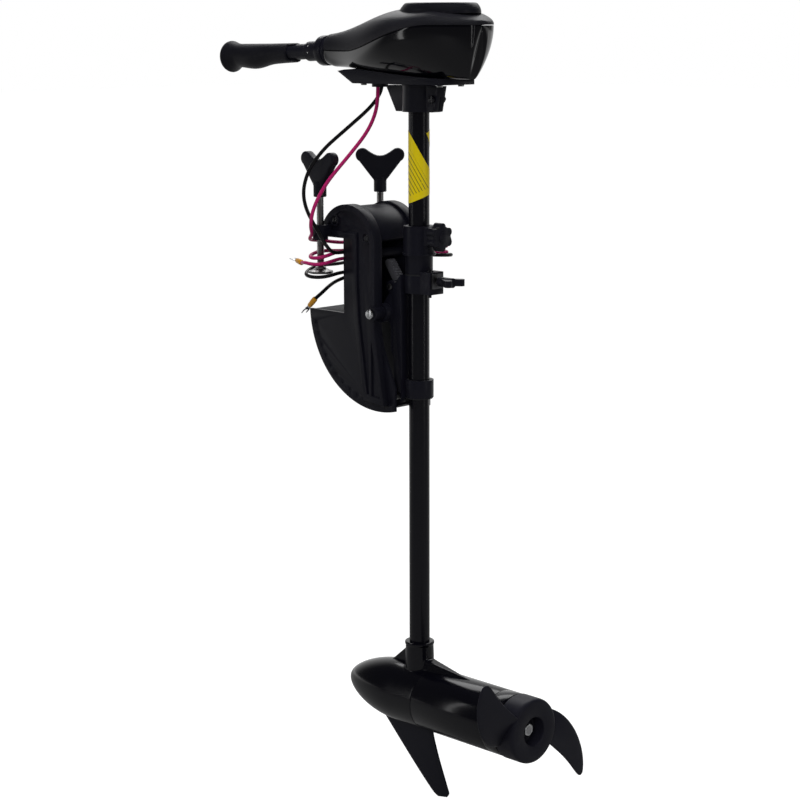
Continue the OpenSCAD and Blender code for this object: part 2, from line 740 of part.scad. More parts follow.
// Head outline along its length: half width, underside, widest line and top, for t from 0 to 1
function mix(a, b, s) = a + (b - a) * s;
function ease(s) = s * s * (3 - 2 * s);
function clamp01(s) = min(1, max(0, s));
function head_half(t) = t < 0.62 ? mix(18, head_w, pow(ease(t / 0.62), 0.85))
    : head_w * sqrt(max(0, 1 - pow((t - 0.62) / 0.38, 2.4)));
function head_low(t) = head_base + mix(13, 0, pow(ease(clamp01(t / 0.8)), 1.2)) + 5 * pow(1 - clamp01(t / 0.07), 2);
function head_seam(t) = head_base + mix(35, 68, pow(ease(clamp01((t - 0.2) / 0.65)), 1.1));
function head_high(t) = head_base + (t < 0.8 ? mix(55, 90, pow(ease(clamp01((t + 0.1) / 0.7)), 1.15))
    : mix(90, 73, pow((t - 0.8) / 0.2, 1.6)));

// One ring of points across the head at t, shrunk by the wall; below the seam it narrows and draws in behind
function head_ring(t, wall, n = 32) = [for (i = [0:n - 1])
    let(a = 360 * i / n, c = cos(a), s = sin(a), seam = head_seam(t),
        up = head_high(t) - seam - wall, down = seam - head_low(t) - wall,
        depth = s < 0 ? pow(-s, 0.7) : 0)
    [head_front + t * head_len - 22 * depth * depth * ease(clamp01((t - 0.55) / 0.45)),
        (head_half(t) - wall) * sign(c) * pow(abs(c), s > 0 ? 0.95 : 0.3) * (1 - 0.4 * pow(depth, 1.8)),
        seam + (s > 0 ? up * pow(s, 0.78) : -down * depth)]];

// Closed body through the head's rings
module head_body(wall, t0, t1, steps = 18) {
    n = 32;
    ts = [for (i = [0:steps]) mix(t0, t1, i < steps * 0.6 ? i / steps
        : 0.6 + 0.4 * sin(90 * (i / steps - 0.6) / 0.4))];
    rings = [for (t = ts) head_ring(t, wall, n)];
    points = concat([for (r = rings) each r], [[head_front + t1 * head_len - 8, 0, head_seam(t1)]]);
    faces = concat([[for (i = [0:n - 1]) i]],
        [for (k = [0:steps - 1], i = [0:n - 1]) let(j = (i + 1) % n)
            [k * n + i, (k + 1) * n + i, (k + 1) * n + j, k * n + j]],
        [for (i = [0:n - 1]) [(steps + 1) * n, steps * n + (i + 1) % n, steps * n + i]]);
    polyhedron(points, faces, convexity = 6);
}

// The region of the head above its seam
module above_seam(shift = 0) {
    slab(-100, 100) polygon(concat(
        [for (i = [0:16]) [head_front - 1 + (head_len + 2) * i / 16, head_seam(i / 16) + shift]],
        [[head_front + head_len + 5, head_base + 140], [head_front - 5, head_base + 140]]));
}

module head_shell() {
    difference() {
        head_body(0, 0, 0.995);
        head_body(shell_t, 0.012, 0.955);
    }
}

module lower_shell() {
    color([0.04, 0.04, 0.045]) difference() {
        head_shell();
        above_seam(-0.1);
        translate([shaft_x, 0, head_base - 20]) cylinder(r = shaft_r, h = 60);
        translate([wire_exit_x, 0, head_base - 20]) cylinder(r = 11, h = 40);
        on_tiller(-60) cylinder(r = tiller_d / 2 + 1, h = 100);
        for (p = cover_screw_places()) translate([p[0], p[1], head_base - 60]) cylinder(r = 2.2, h = 90);
    }
}

module upper_cover() {
    color([0.2, 0.2, 0.21]) difference() {
        union() {
            intersection() {
                head_shell();
                above_seam(0.1);
            }
            translate([lid_x, 0, lid_z - shell_t]) lid_oval(1, shell_t);
            for (p = cover_screw_places()) cover_post(p);
        }
        translate([lid_x, 0, lid_z]) lid_oval(0.4, 60);
        on_tiller(-60) cylinder(r = tiller_d / 2 + 1, h = 100);
    }
}

// Height of the head's roof over a point, at a depth inside its outer surface
function head_roof(x, y, depth) = let(t = (x - head_front) / head_len,
    c = pow(abs(y) / head_half(t), 1 / 0.95), s = sqrt(1 - c * c))
    head_seam(t) + (head_high(t) - head_seam(t)) * pow(s, 0.78) - depth;

// Screw post that hangs from the cover down to the base
module cover_post(p) {
    foot = head_base + 19;
    top = min(lid_z - shell_t / 2, head_roof(p[0], p[1], shell_t / 2));
    translate([p[0], p[1], foot]) difference() {
        cylinder(r = 5, h = top - foot);
        translate([0, 0, -1]) cylinder(r = 2.2, h = 33);
    }
}

module lid_oval(grow, h) {
    linear_extrude(h) polygon([for (i = [0:59]) [(lid_a + grow) * cos(i * 6), (lid_b + grow) * sin(i * 6)]]);
}

// Raised oval lid that narrows in steps towards its top
module lid() {
    color([0.14, 0.14, 0.15]) translate([lid_x, 0, lid_z]) {
        lid_oval(0, lid_t / 2);
        translate([2, 0, lid_t / 2]) lid_oval(-4, lid_t / 4);
        translate([4, 0, lid_t * 3 / 4]) lid_oval(-8, lid_t / 4);
    }
}

module cover_screws() {
    color([0.6, 0.6, 0.62]) for (p = cover_screw_places()) translate([p[0], p[1], plate_z - 2.5]) {
        cylinder(r = 4, h = 2.5);
        cylinder(r = 2.15, h = 40);
    }
}

// ---- tiller ----

module tiller_collar() {
    color([0.08, 0.08, 0.09]) difference() {
        on_tiller(collar_face - 26) {
            cylinder(r = tiller_collar_r - 1.5, h = 12);
            translate([0, 0, 11]) cylinder(r = tiller_collar_r, h = 12.5);
            translate([0, 0, 23]) cylinder(r = tiller_collar_r - 2.5, h = 3);
        }
        on_tiller(collar_face - 30) cylinder(r = tiller_d / 2 + fit, h = 40);
        translate([head_front, -40, tiller_z - 40]) cube([40, 80, 80]);
    }
}

// Telescoping tube with the index ring that carries the speed marks
module tiller_tube() {
    inside = tiller_travel + 18;
    color([0.09, 0.09, 0.1]) on_tiller(-inside) {
        tube(tiller_d / 2, tiller_d / 2 - 2.5, inside + grip_start + grip_len - 30);
        translate([0, 0, inside + collar_face + 1]) tube(tiller_d / 2 + 2.8, tiller_d / 2 - 1, index_len);
    }
}

// Rubber grip: a handle with a flared end and a belly on its underside, and two tongues along the tube
module twist_grip() {
    r = grip_d / 2;
    tongue = 14;
    color([0.07, 0.07, 0.075]) on_tiller(grip_start) difference() {
        union() {
            rotate_extrude() polygon(concat([[0, grip_len], [0, -tongue], [r - 0.5, -tongue], [r, 1 - tongue]],
                [for (i = [0:16]) let(s = i / 16) [r + 2.2 * s + 4 * pow(max(0, (s - 0.8) / 0.2), 1.5), s * (grip_len - 6)]],
                [[r + 5, grip_len - 2.5], [r + 2, grip_len]]));
            translate([-5, 0, 0]) rotate_extrude() polygon(concat([[0, grip_len], [0, 20]],
                [for (i = [0:16]) let(s = i / 16) [r - 3 + 5 * sin(180 * s), 20 + s * (grip_len - 50)]],
                [[r - 1, grip_len - 20], [r + 4.6, grip_len - 6], [r + 3.6, grip_len - 2.5], [r + 1, grip_len]]));
        }
        translate([0, 0, -tongue - 1]) cylinder(r = tiller_d / 2 + fit, h = grip_len + tongue - 25);
        for (side = [-1, 1]) translate([-30, side * 20 - 12, -tongue - 1]) cube([60, 24, tongue + 1]);
    }
}

// Two flat keys in the drive tube's inner end, beside the spindle's flats
module spindle_keys(h) {
    intersection() {
        cylinder(r = spindle_d / 2 + 1, h = h);
        for (side = [-1, 1]) translate([side * (spindle_flat + fit + 3) - 3, -spindle_d, 0]) cube([6, 2 * spindle_d, h]);
    }
}

// Inner tube that turns with the grip and drives the switch's spindle
module drive_tube() {
    inside = tiller_travel + 10;
    length = inside + grip_start + grip_len - 31;
    color([0.55, 0.55, 0.56]) on_tiller(-inside) {
        tube(drive_d / 2, spindle_d / 2 + fit, length);
        translate([0, 0, length]) cylinder(r = drive_d / 2, h = 3);
        spindle_keys(20);
    }
}

module switch_spindle() {
    length = tiller_travel + 66;
    color([0.75, 0.75, 0.76]) on_tiller(-tiller_travel - 42) intersection() {
        cylinder(d = spindle_d, h = length);
        translate([-spindle_flat, -spindle_d, 0]) cube([2 * spindle_flat, 2 * spindle_d, length]);
    }
}

// Rotary speed switch on its bracket inside the head
module speed_switch() {
    color([0.35, 0.2, 0.1]) on_tiller(-tiller_travel - 50) difference() {
        union() {
            cylinder(r = 17, h = 22);
            for (a = [0:60:300]) rotate([0, 0, a]) translate([11, -2, -5]) cube([1, 4, 6]);
            translate([-25, -14, 0]) cube([30, 28, 4]);
        }
        translate([0, 0, 8]) cylinder(r = spindle_d / 2 + fit, h = 20);
    }
}

// ---- motor pod ----

nose_points = [for (i = [0:28]) let(s = i / 28) [pod_r * pow(sin(90 * pow(s, 0.92)), 0.62), s * (nose_len - 48)]];

module nose_casting() {
    color([0.05, 0.05, 0.055]) difference() {
        union() {
            on_motor(nose_x) rotate_extrude() polygon(concat([[0, 0]], nose_points, [[pod_r, nose_len], [0, nose_len]]));
            translate([shaft_x, 0, pod_z]) cylinder(r = socket_r, h = socket_h);
            translate([shaft_x, 0, pod_z + socket_h - 4]) cylinder(r = socket_r + 1, h = 4);
            slab(-2.5, 2.5) polygon([[shaft_x - 10, pod_z + 30], [shaft_x - 54, pod_z + pod_r - 5],
                [shaft_x - socket_r - 3, pod_z + socket_h - 13], [shaft_x - 10, pod_z + socket_h - 9]]);
            intersection() {
                slab(-20, 20) polygon([[shaft_x, pod_z + 30], [shaft_x, pod_z + 60], [shaft_x + 22, pod_z + 55],
                    [shaft_x + 120, pod_z + pod_r + 0.5], [shaft_x + 120, pod_z + 30]]);
                translate([0, 0, pod_z]) linear_extrude(100) polygon([[shaft_x, -18], [shaft_x + 20, -14],
                    [shaft_x + 118, -1.5], [shaft_x + 118, 1.5], [shaft_x + 20, 14], [shaft_x, 18]]);
            }
        }
        translate([shaft_x, 0, shaft_bottom]) cylinder(r = shaft_r, h = 100);
        difference() {
            on_motor(seam_x - nose_len / 2) cylinder(r = carrier_r, h = 100);
            for (z = [-1, 1]) bar_x(0, pod_z + z * bolt_r, 6, seam_x - 45, seam_x - 24);
        }
        on_motor(nose_x + nose_len * 0.2) cylinder(r = 11, h = nose_len * 0.4);
        on_motor(seam_x) cylinder(r = pod_r, h = 200);
        for (z = [-1, 1]) bar_x(0, pod_z + z * bolt_r, 2.1, seam_x - 42, seam_x + 1);
    }
}

// Swept fin under the pod
module skeg() {
    top = pod_z - pod_r;
    color([0.07, 0.07, 0.075]) difference() {
        slab(-skeg_t / 2, skeg_t / 2) polygon(concat([[shaft_x - 80, top + 9], [shaft_x - 66, top - 5]],
            [[shaft_x + 30, top - 94.5], [shaft_x + 38, top - 96.5], [shaft_x + 50, top - 95.5],
                [shaft_x + 56, top - 93.5], [shaft_x + 58.5, top - 89.5]],
            [for (i = [1:8]) let(s = i / 8) [shaft_x + 58.5 - 34 * s + 2 * s * (1 - s), top - 89.5 + 90 * s]],
            [[shaft_x + 24, top + 9]]));
        on_motor(nose_x) rotate_extrude() polygon(concat([[0, -1]], nose_points, [[pod_r, 300], [0, 300]]));
    }
}

module motor_can() {
    color([0.04, 0.04, 0.045]) on_motor(seam_x) tube(pod_r, can_inner_r, can_len);
}

bolt_r = can_inner_r - 4;

module end_cap() {
    color([0.05, 0.05, 0.055]) difference() {
        union() {
            on_motor(cap_x) cylinder(r = pod_r, h = cap_len);
            on_motor(cap_x - 6) cylinder(r = can_inner_r, h = 7);
        }
        on_motor(cap_x - 7) cylinder(r = can_inner_r - 9, h = 11);
        on_motor(cap_x) cylinder(r = 13, h = 13);
        on_motor(cap_x) cylinder(r = motor_shaft_d / 2 + 1, h = 60);
        on_motor(cap_x + cap_len - 8) cylinder(r = 11, h = 9);
        for (z = [-1, 1]) {
            bar_x(0, pod_z + z * bolt_r, 2.1, cap_x - 8, cap_x + cap_len);
            bar_x(0, pod_z + z * bolt_r, 4.5, cap_x + cap_len - 5, cap_x + cap_len + 1);
        }
    }
}

// Shaft seal in the end cap
module pod_seals() {
    color([0.06, 0.06, 0.06]) on_motor(cap_x + cap_len - 8) tube(11, motor_shaft_d / 2 + fit, 7);
}

// Two arc magnets inside the can
module magnets() {
    color([0.22, 0.22, 0.23]) difference() {
        on_motor(armature_x - 2) tube(can_inner_r, can_inner_r - magnet_t, armature_len + 4);
        translate([armature_x - 10, -8, pod_z - 60]) cube([armature_len + 20, 16, 120]);
    }
}

// Armature: laminations, end windings, commutator and the motor shaft
module armature() {
    color([0.6, 0.35, 0.16]) difference() {
        union() {
            on_motor(armature_x) cylinder(d = armature_d, h = armature_len);
            on_motor(armature_x - 9) cylinder(d = armature_d - 12, h = armature_len + 18);
            on_motor(commutator_x) cylinder(r = 11, h = 16);
            on_motor(seam_x - 20) cylinder(d = motor_shaft_d, h = hub_x + hub_len - 9 - seam_x + 20);
        }
        bar_y(hub_x + 3, pod_z, 2.1, -20, 20);
    }
}

// Ball bearings at both ends of the motor shaft
module bearings() {
    color([0.75, 0.76, 0.78]) {
        on_motor(seam_x - 21) tube(13, motor_shaft_d / 2 + fit, 9);
        on_motor(cap_x + 1) tube(13, motor_shaft_d / 2 + fit, 9);
    }
}

// Front bearing carrier and the ring that holds the two carbon brushes
module brush_gear() {
    color([0.45, 0.3, 0.14]) difference() {
        union() {
            on_motor(seam_x - 24) difference() {
                cylinder(r = carrier_r, h = 14);
                translate([0, 0, 3]) cylinder(r = 13, h = 20);
                translate([0, 0, -1]) cylinder(r = motor_shaft_d / 2 + 1, h = 20);
            }
            on_motor(commutator_x + 17) tube(can_inner_r - 0.05, 14, 3);
            for (a = [0, 180]) on_motor(commutator_x + 4) rotate([0, 0, a]) translate([11.3, -4, 0]) cube([14, 8, 13.5]);
        }
        for (z = [-1, 1]) bar_x(0, pod_z + z * bolt_r, 2.1, seam_x - 26, cap_x);
    }
}

module through_bolts() {
    color([0.7, 0.7, 0.72]) for (z = [-1, 1]) {
        bar_x(0, pod_z + z * bolt_r, 2.05, seam_x - 38, cap_x + cap_len - 5);
        bar_x(0, pod_z + z * bolt_r, 4.2, cap_x + cap_len - 5, cap_x + cap_len - 1);
    }
}

// ---- propeller ----

// Blade: leading and trailing edges as angles behind the root, along the span from 0 to 1
function lead_angle(s) = 23 - 58 * s;
function trail_angle(s) = -39 - 6 * s * s;
function blade_radius(s) = hub_d / 2 - 3 + (blade_tip_r - hub_d / 2 + 3) * s;
function chord_fill(s) = sqrt(max(0, 1 - pow(s, 14)));

module blade(turn) {
    spans = 14;
    chords = 8;
    n = 2 * chords;
    middle = hub_x + hub_len / 2;
    points = [for (k = [0:spans], i = [0:n - 1])
        let(s = 1 - pow(1 - k / spans, 1.5), u = i < chords ? i / (chords - 1) : (n - 1 - i) / (chords - 1),
            side = i < chords ? 1 : -1, centre = (lead_angle(s) + trail_angle(s)) / 2,
            half = (lead_angle(s) - trail_angle(s)) / 2 * chord_fill(s) + 0.4,
            a = centre + half * (2 * u - 1), r = blade_radius(s),
            t = (blade_t / 2 * (1 - 0.72 * s) * sqrt(max(0, 1 - pow(2 * u - 1, 2))) + 0.5),
            x = middle - blade_pitch * (a + 3) / 360 + side * t)
        [x, r * cos(a), r * sin(a)]];
    faces = concat([[for (i = [n - 1:-1:0]) i]],
        [for (k = [0:spans - 1], i = [0:n - 1]) let(j = (i + 1) % n)
            [k * n + i, k * n + j, (k + 1) * n + j, (k + 1) * n + i]],
        [[for (i = [0:n - 1]) spans * n + i]]);
    translate([0, 0, pod_z]) rotate([turn, 0, 0]) polyhedron(points, faces, convexity = 4);
}

module propeller() {
    color([0.08, 0.08, 0.085]) {
        difference() {
            union() {
                on_motor(hub_x) cylinder(d = hub_d, h = hub_len - 3);
                on_motor(hub_x + hub_len - 3) cylinder(d = hub_d - 4, h = 3);
            }
            on_motor(hub_x + 13) cylinder(r = 19.5, h = hub_len);
            on_motor(hub_x - 1) cylinder(d = motor_shaft_d + 0.1, h = 60);
            bar_y(hub_x + 3, pod_z, 2.1, -16, 16);
            on_motor(hub_x - 1) tube(hub_d / 2 - 6, 22, 8);
        }
        blade(0);
        blade(180);
    }
}

// Drive pin, washer and nut that hold the propeller
module drive_fixings() {
    color([0.78, 0.79, 0.8]) {
        bar_y(hub_x + 3, pod_z, 2.05, -15, 15);
        on_motor(hub_x + 13) tube(11, motor_shaft_d / 2, 2);
        on_motor(hub_x + 15) difference() {
            cylinder(r = 9, h = 8, $fn = 6);
            translate([0, 0, -1]) cylinder(d = motor_shaft_d, h = 20);
        }
    }
}

// ---- wires ----

// Point on a smooth curve through the list p, at u from 0 to its last index
function route_point(p, u) = let(n = len(p) - 1, i = min(floor(u), n - 1), f = u - i,
    a = p[max(i - 1, 0)], b = p[i], c = p[i + 1], d = p[min(i + 2, n)])
    0.5 * (2 * b + (c - a) * f + (2 * a - 5 * b + 4 * c - d) * f * f + (3 * b - a - 3 * c + d) * f * f * f);

// Closed tube along a route, with the given number of rings to each stretch
module wire_tube(route, per = 3, sides = 8) {
    last = (len(route) - 1) * per;
    points = [for (k = [0:last]) let(u = k / per, here = route_point(route, u),
        way = route_point(route, min(u + 0.05, last / per)) - route_point(route, max(u - 0.05, 0)),
        side = cross(way, [0.2, 1, 0.1]), out = cross(way, side))
        for (i = [0:sides - 1]) let(a = 360 * i / sides)
            here + wire_d / 2 * (cos(a) * side / norm(side) + sin(a) * out / norm(out))];
    faces = concat([[for (i = [0:sides - 1]) i]],
        [for (k = [0:last - 1], i = [0:sides - 1]) let(j = (i + 1) % sides)
            [k * sides + i, (k + 1) * sides + i, (k + 1) * sides + j, k * sides + j]],
        [[for (i = [sides - 1:-1:0]) last * sides + i]]);
    polyhedron(points, faces, convexity = 4);
}

module red_wire() {
    color([0.72, 0.06, 0.25]) {
        wire_tube(red_route);
        wire_tube(red_tail, 2);
    }
}

module black_wire() {
    color([0.06, 0.06, 0.07]) {
        wire_tube(black_route);
        wire_tube(black_tail, 2);
    }
}

// Outer shape of the spare wire, looped round the two clamp screws and behind the far arm
module wire_hank() {
    color([0.4, 0.06, 0.15]) translate([0, 0, hank_z]) linear_extrude(hank_h) difference() {
        offset(r = 3.4) polygon(hank_line);
        offset(r = -3.4) polygon(hank_line);
    }
}

// Fork terminal with its insulating sleeve, pointing along +X from the wire's end
module fork_terminal() {
    rotate([0, 90, 0]) cylinder(r = 3.8, h = 16);
    rotate([0, 90, 0]) cylinder(r = 2.6, h = 20);
    translate([18, 0, -0.5]) linear_extrude(1) difference() {
        union() {
            translate([0, -3]) square([8, 6]);
            translate([9.5, 0]) circle(5.6);
            translate([9.5, -5.6]) square([7, 11.2]);
        }
        translate([10.5, 0]) circle(2.8);
        translate([10.5, -2.8]) square([10, 5.6]);
    }
}

module fork_terminals() {
    color([0.9, 0.65, 0.1]) {
        translate(red_tail[len(red_tail) - 1]) rotate([40, 3, 180]) fork_terminal();
        translate(black_tail[len(black_tail) - 1]) rotate([50, 36, 180]) fork_terminal();
    }
}

side_plate_left();
side_plate_right();
clamp_bridge();
transom_pad();
spacer_tube();
bridge_bolts();
tilt_pin();
screw_left();
screw_right();
wing_knob_left();
wing_knob_right();
foot_left();
foot_right();
swivel_bracket();
swivel_bushes();
tension_nut();
tension_nut_pin();
tension_screw();
tension_knob();
tension_shoe();
tilt_lever();
lever_pin();
lock_pin();
pull_rod();
depth_collar();
depth_screw();
depth_knob();
depth_shoe();
shaft_tube();
shaft_leads();
marker_tape();
neck_clamp();
neck_screw();
base_plate();
lower_shell();
upper_cover();
lid();
cover_screws();
tiller_collar();
tiller_tube();
twist_grip();
drive_tube();
switch_spindle();
speed_switch();
nose_casting();
skeg();
motor_can();
end_cap();
pod_seals();
magnets();
armature();
bearings();
brush_gear();
through_bolts();
propeller();
drive_fixings();
red_wire();
black_wire();
wire_hank();
fork_terminals();
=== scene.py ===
"""Looks of an electric trolling motor with a transom clamp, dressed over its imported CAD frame."""

import json
import math

import bmesh
import bpy
from mathutils import Matrix, Vector

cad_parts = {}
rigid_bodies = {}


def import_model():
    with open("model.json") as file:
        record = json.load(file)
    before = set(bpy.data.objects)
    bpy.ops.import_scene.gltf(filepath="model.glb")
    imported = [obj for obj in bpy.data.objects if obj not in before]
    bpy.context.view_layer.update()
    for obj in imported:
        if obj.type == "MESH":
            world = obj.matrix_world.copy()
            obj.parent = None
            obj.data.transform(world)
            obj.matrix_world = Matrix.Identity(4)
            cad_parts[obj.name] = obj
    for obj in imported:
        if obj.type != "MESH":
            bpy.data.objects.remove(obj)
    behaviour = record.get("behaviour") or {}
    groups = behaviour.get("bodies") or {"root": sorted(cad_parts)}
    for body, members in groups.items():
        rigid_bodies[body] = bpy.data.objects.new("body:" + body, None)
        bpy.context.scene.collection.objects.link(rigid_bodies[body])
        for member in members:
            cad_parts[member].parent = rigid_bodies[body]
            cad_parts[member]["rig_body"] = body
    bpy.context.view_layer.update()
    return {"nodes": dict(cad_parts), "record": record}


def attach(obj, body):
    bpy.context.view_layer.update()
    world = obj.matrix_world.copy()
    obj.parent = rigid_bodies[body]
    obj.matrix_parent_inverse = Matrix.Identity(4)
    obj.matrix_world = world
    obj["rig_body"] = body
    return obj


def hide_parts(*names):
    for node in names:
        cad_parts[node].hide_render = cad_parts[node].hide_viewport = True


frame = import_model()
MM = 0.001
TAU = 2 * math.pi
MERGE = 1e-6  # metres between points that count as one


# ---------------------------------------------------------------- small tools

def mm(*values):
    """A point given in millimetres, in metres."""
    return Vector(values) * MM


def mix(a, b, s):
    return a + (b - a) * s


def clamp(s, low=0.0, high=1.0):
    return min(high, max(low, s))


def ease(s):
    s = clamp(s)
    return s * s * (3 - 2 * s)


def through(points, steps):
    """Points of a smooth curve through a list of points, with that many steps to each stretch."""
    last = len(points) - 1
    out = []
    for i in range(last):
        a, b, c, d = (points[k] for k in (max(i - 1, 0), i, i + 1, min(i + 2, last)))
        for k in range(steps):
            f = k / steps
            out.append(0.5 * (2 * b + (c - a) * f + (2 * a - 5 * b + 4 * c - d) * f * f
                              + (3 * b - a - 3 * c + d) * f ** 3))
    return out + [points[-1]]


def length_of(points):
    return sum((b - a).length for a, b in zip(points, points[1:]))


def new_object(name, data):
    obj = bpy.data.objects.new(name, data)
    bpy.context.scene.collection.objects.link(obj)
    return obj


def face_outwards(mesh):
    """Merges a mesh's doubled points and turns its faces outwards."""
    bm = bmesh.new()
    bm.from_mesh(mesh)
    bmesh.ops.remove_doubles(bm, verts=bm.verts, dist=MERGE)
    bmesh.ops.recalc_face_normals(bm, faces=bm.faces)
    bm.to_mesh(mesh)
    bm.free()


def mesh_of(name, points, faces, outward=True):
    """A mesh of points in millimetres."""
    mesh = bpy.data.meshes.new(name)
    mesh.from_pydata([tuple(c * MM for c in p) for p in points], [], faces)
    if outward:
        face_outwards(mesh)
    return mesh


def baked(obj):
    """Turns an object with its modifiers into a plain mesh of the same name."""
    bpy.context.view_layer.update()
    graph = bpy.context.evaluated_depsgraph_get()
    mesh = bpy.data.meshes.new_from_object(obj.evaluated_get(graph))
    name, materials = obj.name, list(obj.data.materials)
    bpy.data.objects.remove(obj)
    out = new_object(name, mesh)
    if not mesh.materials:
        for m in materials:
            mesh.materials.append(m)
    return out


def shade(obj, angle=32):
    for p in obj.data.polygons:
        p.use_smooth = True
    obj.data.set_sharp_from_angle(angle=math.radians(angle))
    return obj


def rounded(obj, width, segments=2, angle=30):
    """Rounds the sharp edges of an object by that many millimetres."""
    bevel = obj.modifiers.new("edges", "BEVEL")
    bevel.width = width * MM
    bevel.segments = segments
    bevel.limit_method = "ANGLE"
    bevel.angle_limit = math.radians(angle)
    return baked(obj)


def combined(obj, operation, others):
    """Adds closed bodies to an object, or takes them away from it, and clears them up."""
    for other in others:
        change = obj.modifiers.new("combine", "BOOLEAN")
        change.operation = operation
        change.solver = "EXACT"
        change.object = other
    out = baked(obj)
    for other in others:
        bpy.data.objects.remove(other)
    return out


def cut(obj, *tools):
    return combined(obj, "DIFFERENCE", tools)


def fused(obj, *parts):
    return combined(obj, "UNION", parts)


def place(obj, body, finish, slot, *nodes, angle=32):
    """Gives a finished piece its material, smooth shading and its body, and hides the CAD nodes it stands for. The
    slot argument is not used.
    """
    obj.data.materials.clear()
    obj.data.materials.append(finish)
    shade(obj, angle)
    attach(obj, body)
    if nodes:
        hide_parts(*nodes)
    return obj


def body_of(node):
    return frame["nodes"][node]["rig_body"]


def slot_of(node):
    return next(s["material_slot"] for s in frame["record"]["subparts"] if s["node"] == node)


def softened(node, width, finish):
    """A copy of a CAD node with its triangles merged and its sharp edges rounded."""
    source = frame["nodes"][node].data
    bm = bmesh.new()
    points = [bm.verts.new(v.co) for v in source.vertices]
    for p in source.polygons:
        try:
            bm.faces.new([points[i] for i in p.vertices])
        except ValueError:  # the same face twice
            continue
    bmesh.ops.remove_doubles(bm, verts=bm.verts, dist=2 * MERGE)
    bmesh.ops.dissolve_degenerate(bm, edges=bm.edges, dist=MERGE)
    bmesh.ops.dissolve_limit(bm, angle_limit=math.radians(0.6), verts=bm.verts, edges=bm.edges)
    mesh = bpy.data.meshes.new(node + "_moulded")
    bm.to_mesh(mesh)
    bm.free()
    return place(rounded(new_object(node + "_moulded", mesh), width), body_of(node), finish, slot_of(node), node)


# ---------------------------------------------------------------- camera

PHOTO_PX, SENSOR_MM, FOCAL_PX = 800, 36, 1996
CAMERA_AT = (1.9722, -1.8926, 0.339)
view_turn, view_drop, view_roll = (math.radians(a) for a in (45.1, 10.72, -0.187))
right = Vector((math.cos(view_turn), math.sin(view_turn), 0))
back = Vector((math.sin(view_turn) * math.cos(view_drop), -math.cos(view_turn) * math.cos(view_drop),
               math.sin(view_drop)))
up = back.cross(right)
lens = bpy.data.cameras.new("camera")
lens.sensor_width = SENSOR_MM
lens.lens = FOCAL_PX * SENSOR_MM / PHOTO_PX
lens.clip_end = 50
camera = new_object("camera", lens)
camera.matrix_world = Matrix.Translation(CAMERA_AT) @ (
    Matrix((right, up, back)).transposed() @ Matrix.Rotation(view_roll, 3, "Z")).to_4x4()
bpy.context.scene.camera = camera


# ---------------------------------------------------------------- material building

def feed(tree, socket, value):
    """Gives a socket its value: another socket's, or a plain one."""
    if isinstance(value, bpy.types.NodeSocket):
        tree.links.new(value, socket)
    else:
        socket.default_value = value


def link(tree, kind, feeds=None, **settings):
    """A node with its settings, fed from sockets or plain values."""
    n = tree.nodes.new(kind)
    for key, value in settings.items():
        setattr(n, key, value)
    for key, value in (feeds or {}).items():
        feed(tree, n.inputs[key], value)
    return n


def calc(tree, operation, *values, clamped=False):
    n = tree.nodes.new("ShaderNodeMath")
    n.operation, n.use_clamp = operation, clamped
    for socket, value in zip(n.inputs, values):
        feed(tree, socket, value)
    return n.outputs[0]


def tint(tree, mask, dark, light):
    """A colour between two, by a mask from 0 to 1."""
    return link(tree, "ShaderNodeMix", {0: mask, 6: dark, 7: light}, data_type="RGBA").outputs[2]


def noise(tree, where, scale, detail=2.0, roughness=0.5):
    return link(tree, "ShaderNodeTexNoise", {"Vector": where, "Scale": scale, "Detail": detail,
                                             "Roughness": roughness}).outputs[0]


def own_place(tree):
    """Coordinates in the object's own frame, in metres."""
    return tree.nodes.new("ShaderNodeTexCoord").outputs["Object"]


def node_of(tree, kind):
    return next(n for n in tree.nodes if n.type == kind)


def new_group(name, kind, inputs, outputs):
    """An empty node group with its sockets; also gives its inner inputs and outputs."""
    tree = bpy.data.node_groups.new(name, kind)
    for label, socket, default in inputs:
        made = tree.interface.new_socket(name=label, in_out="INPUT", socket_type=socket)
        if default is not None:
            made.default_value = default
    for label, socket in outputs:
        tree.interface.new_socket(name=label, in_out="OUTPUT", socket_type=socket)
    return tree, tree.nodes.new("NodeGroupInput").outputs, tree.nodes.new("NodeGroupOutput").inputs


NUMBER, COLOUR, VECTOR = "NodeSocketFloat", "NodeSocketColor", "NodeSocketVector"
BLACK, WHITE = (0, 0, 0, 1), (1, 1, 1, 1)
PLACE = ("Place", VECTOR, (0, 0, 0))
SURFACE = [("Color", COLOUR), ("Roughness", NUMBER), ("Height", NUMBER)]


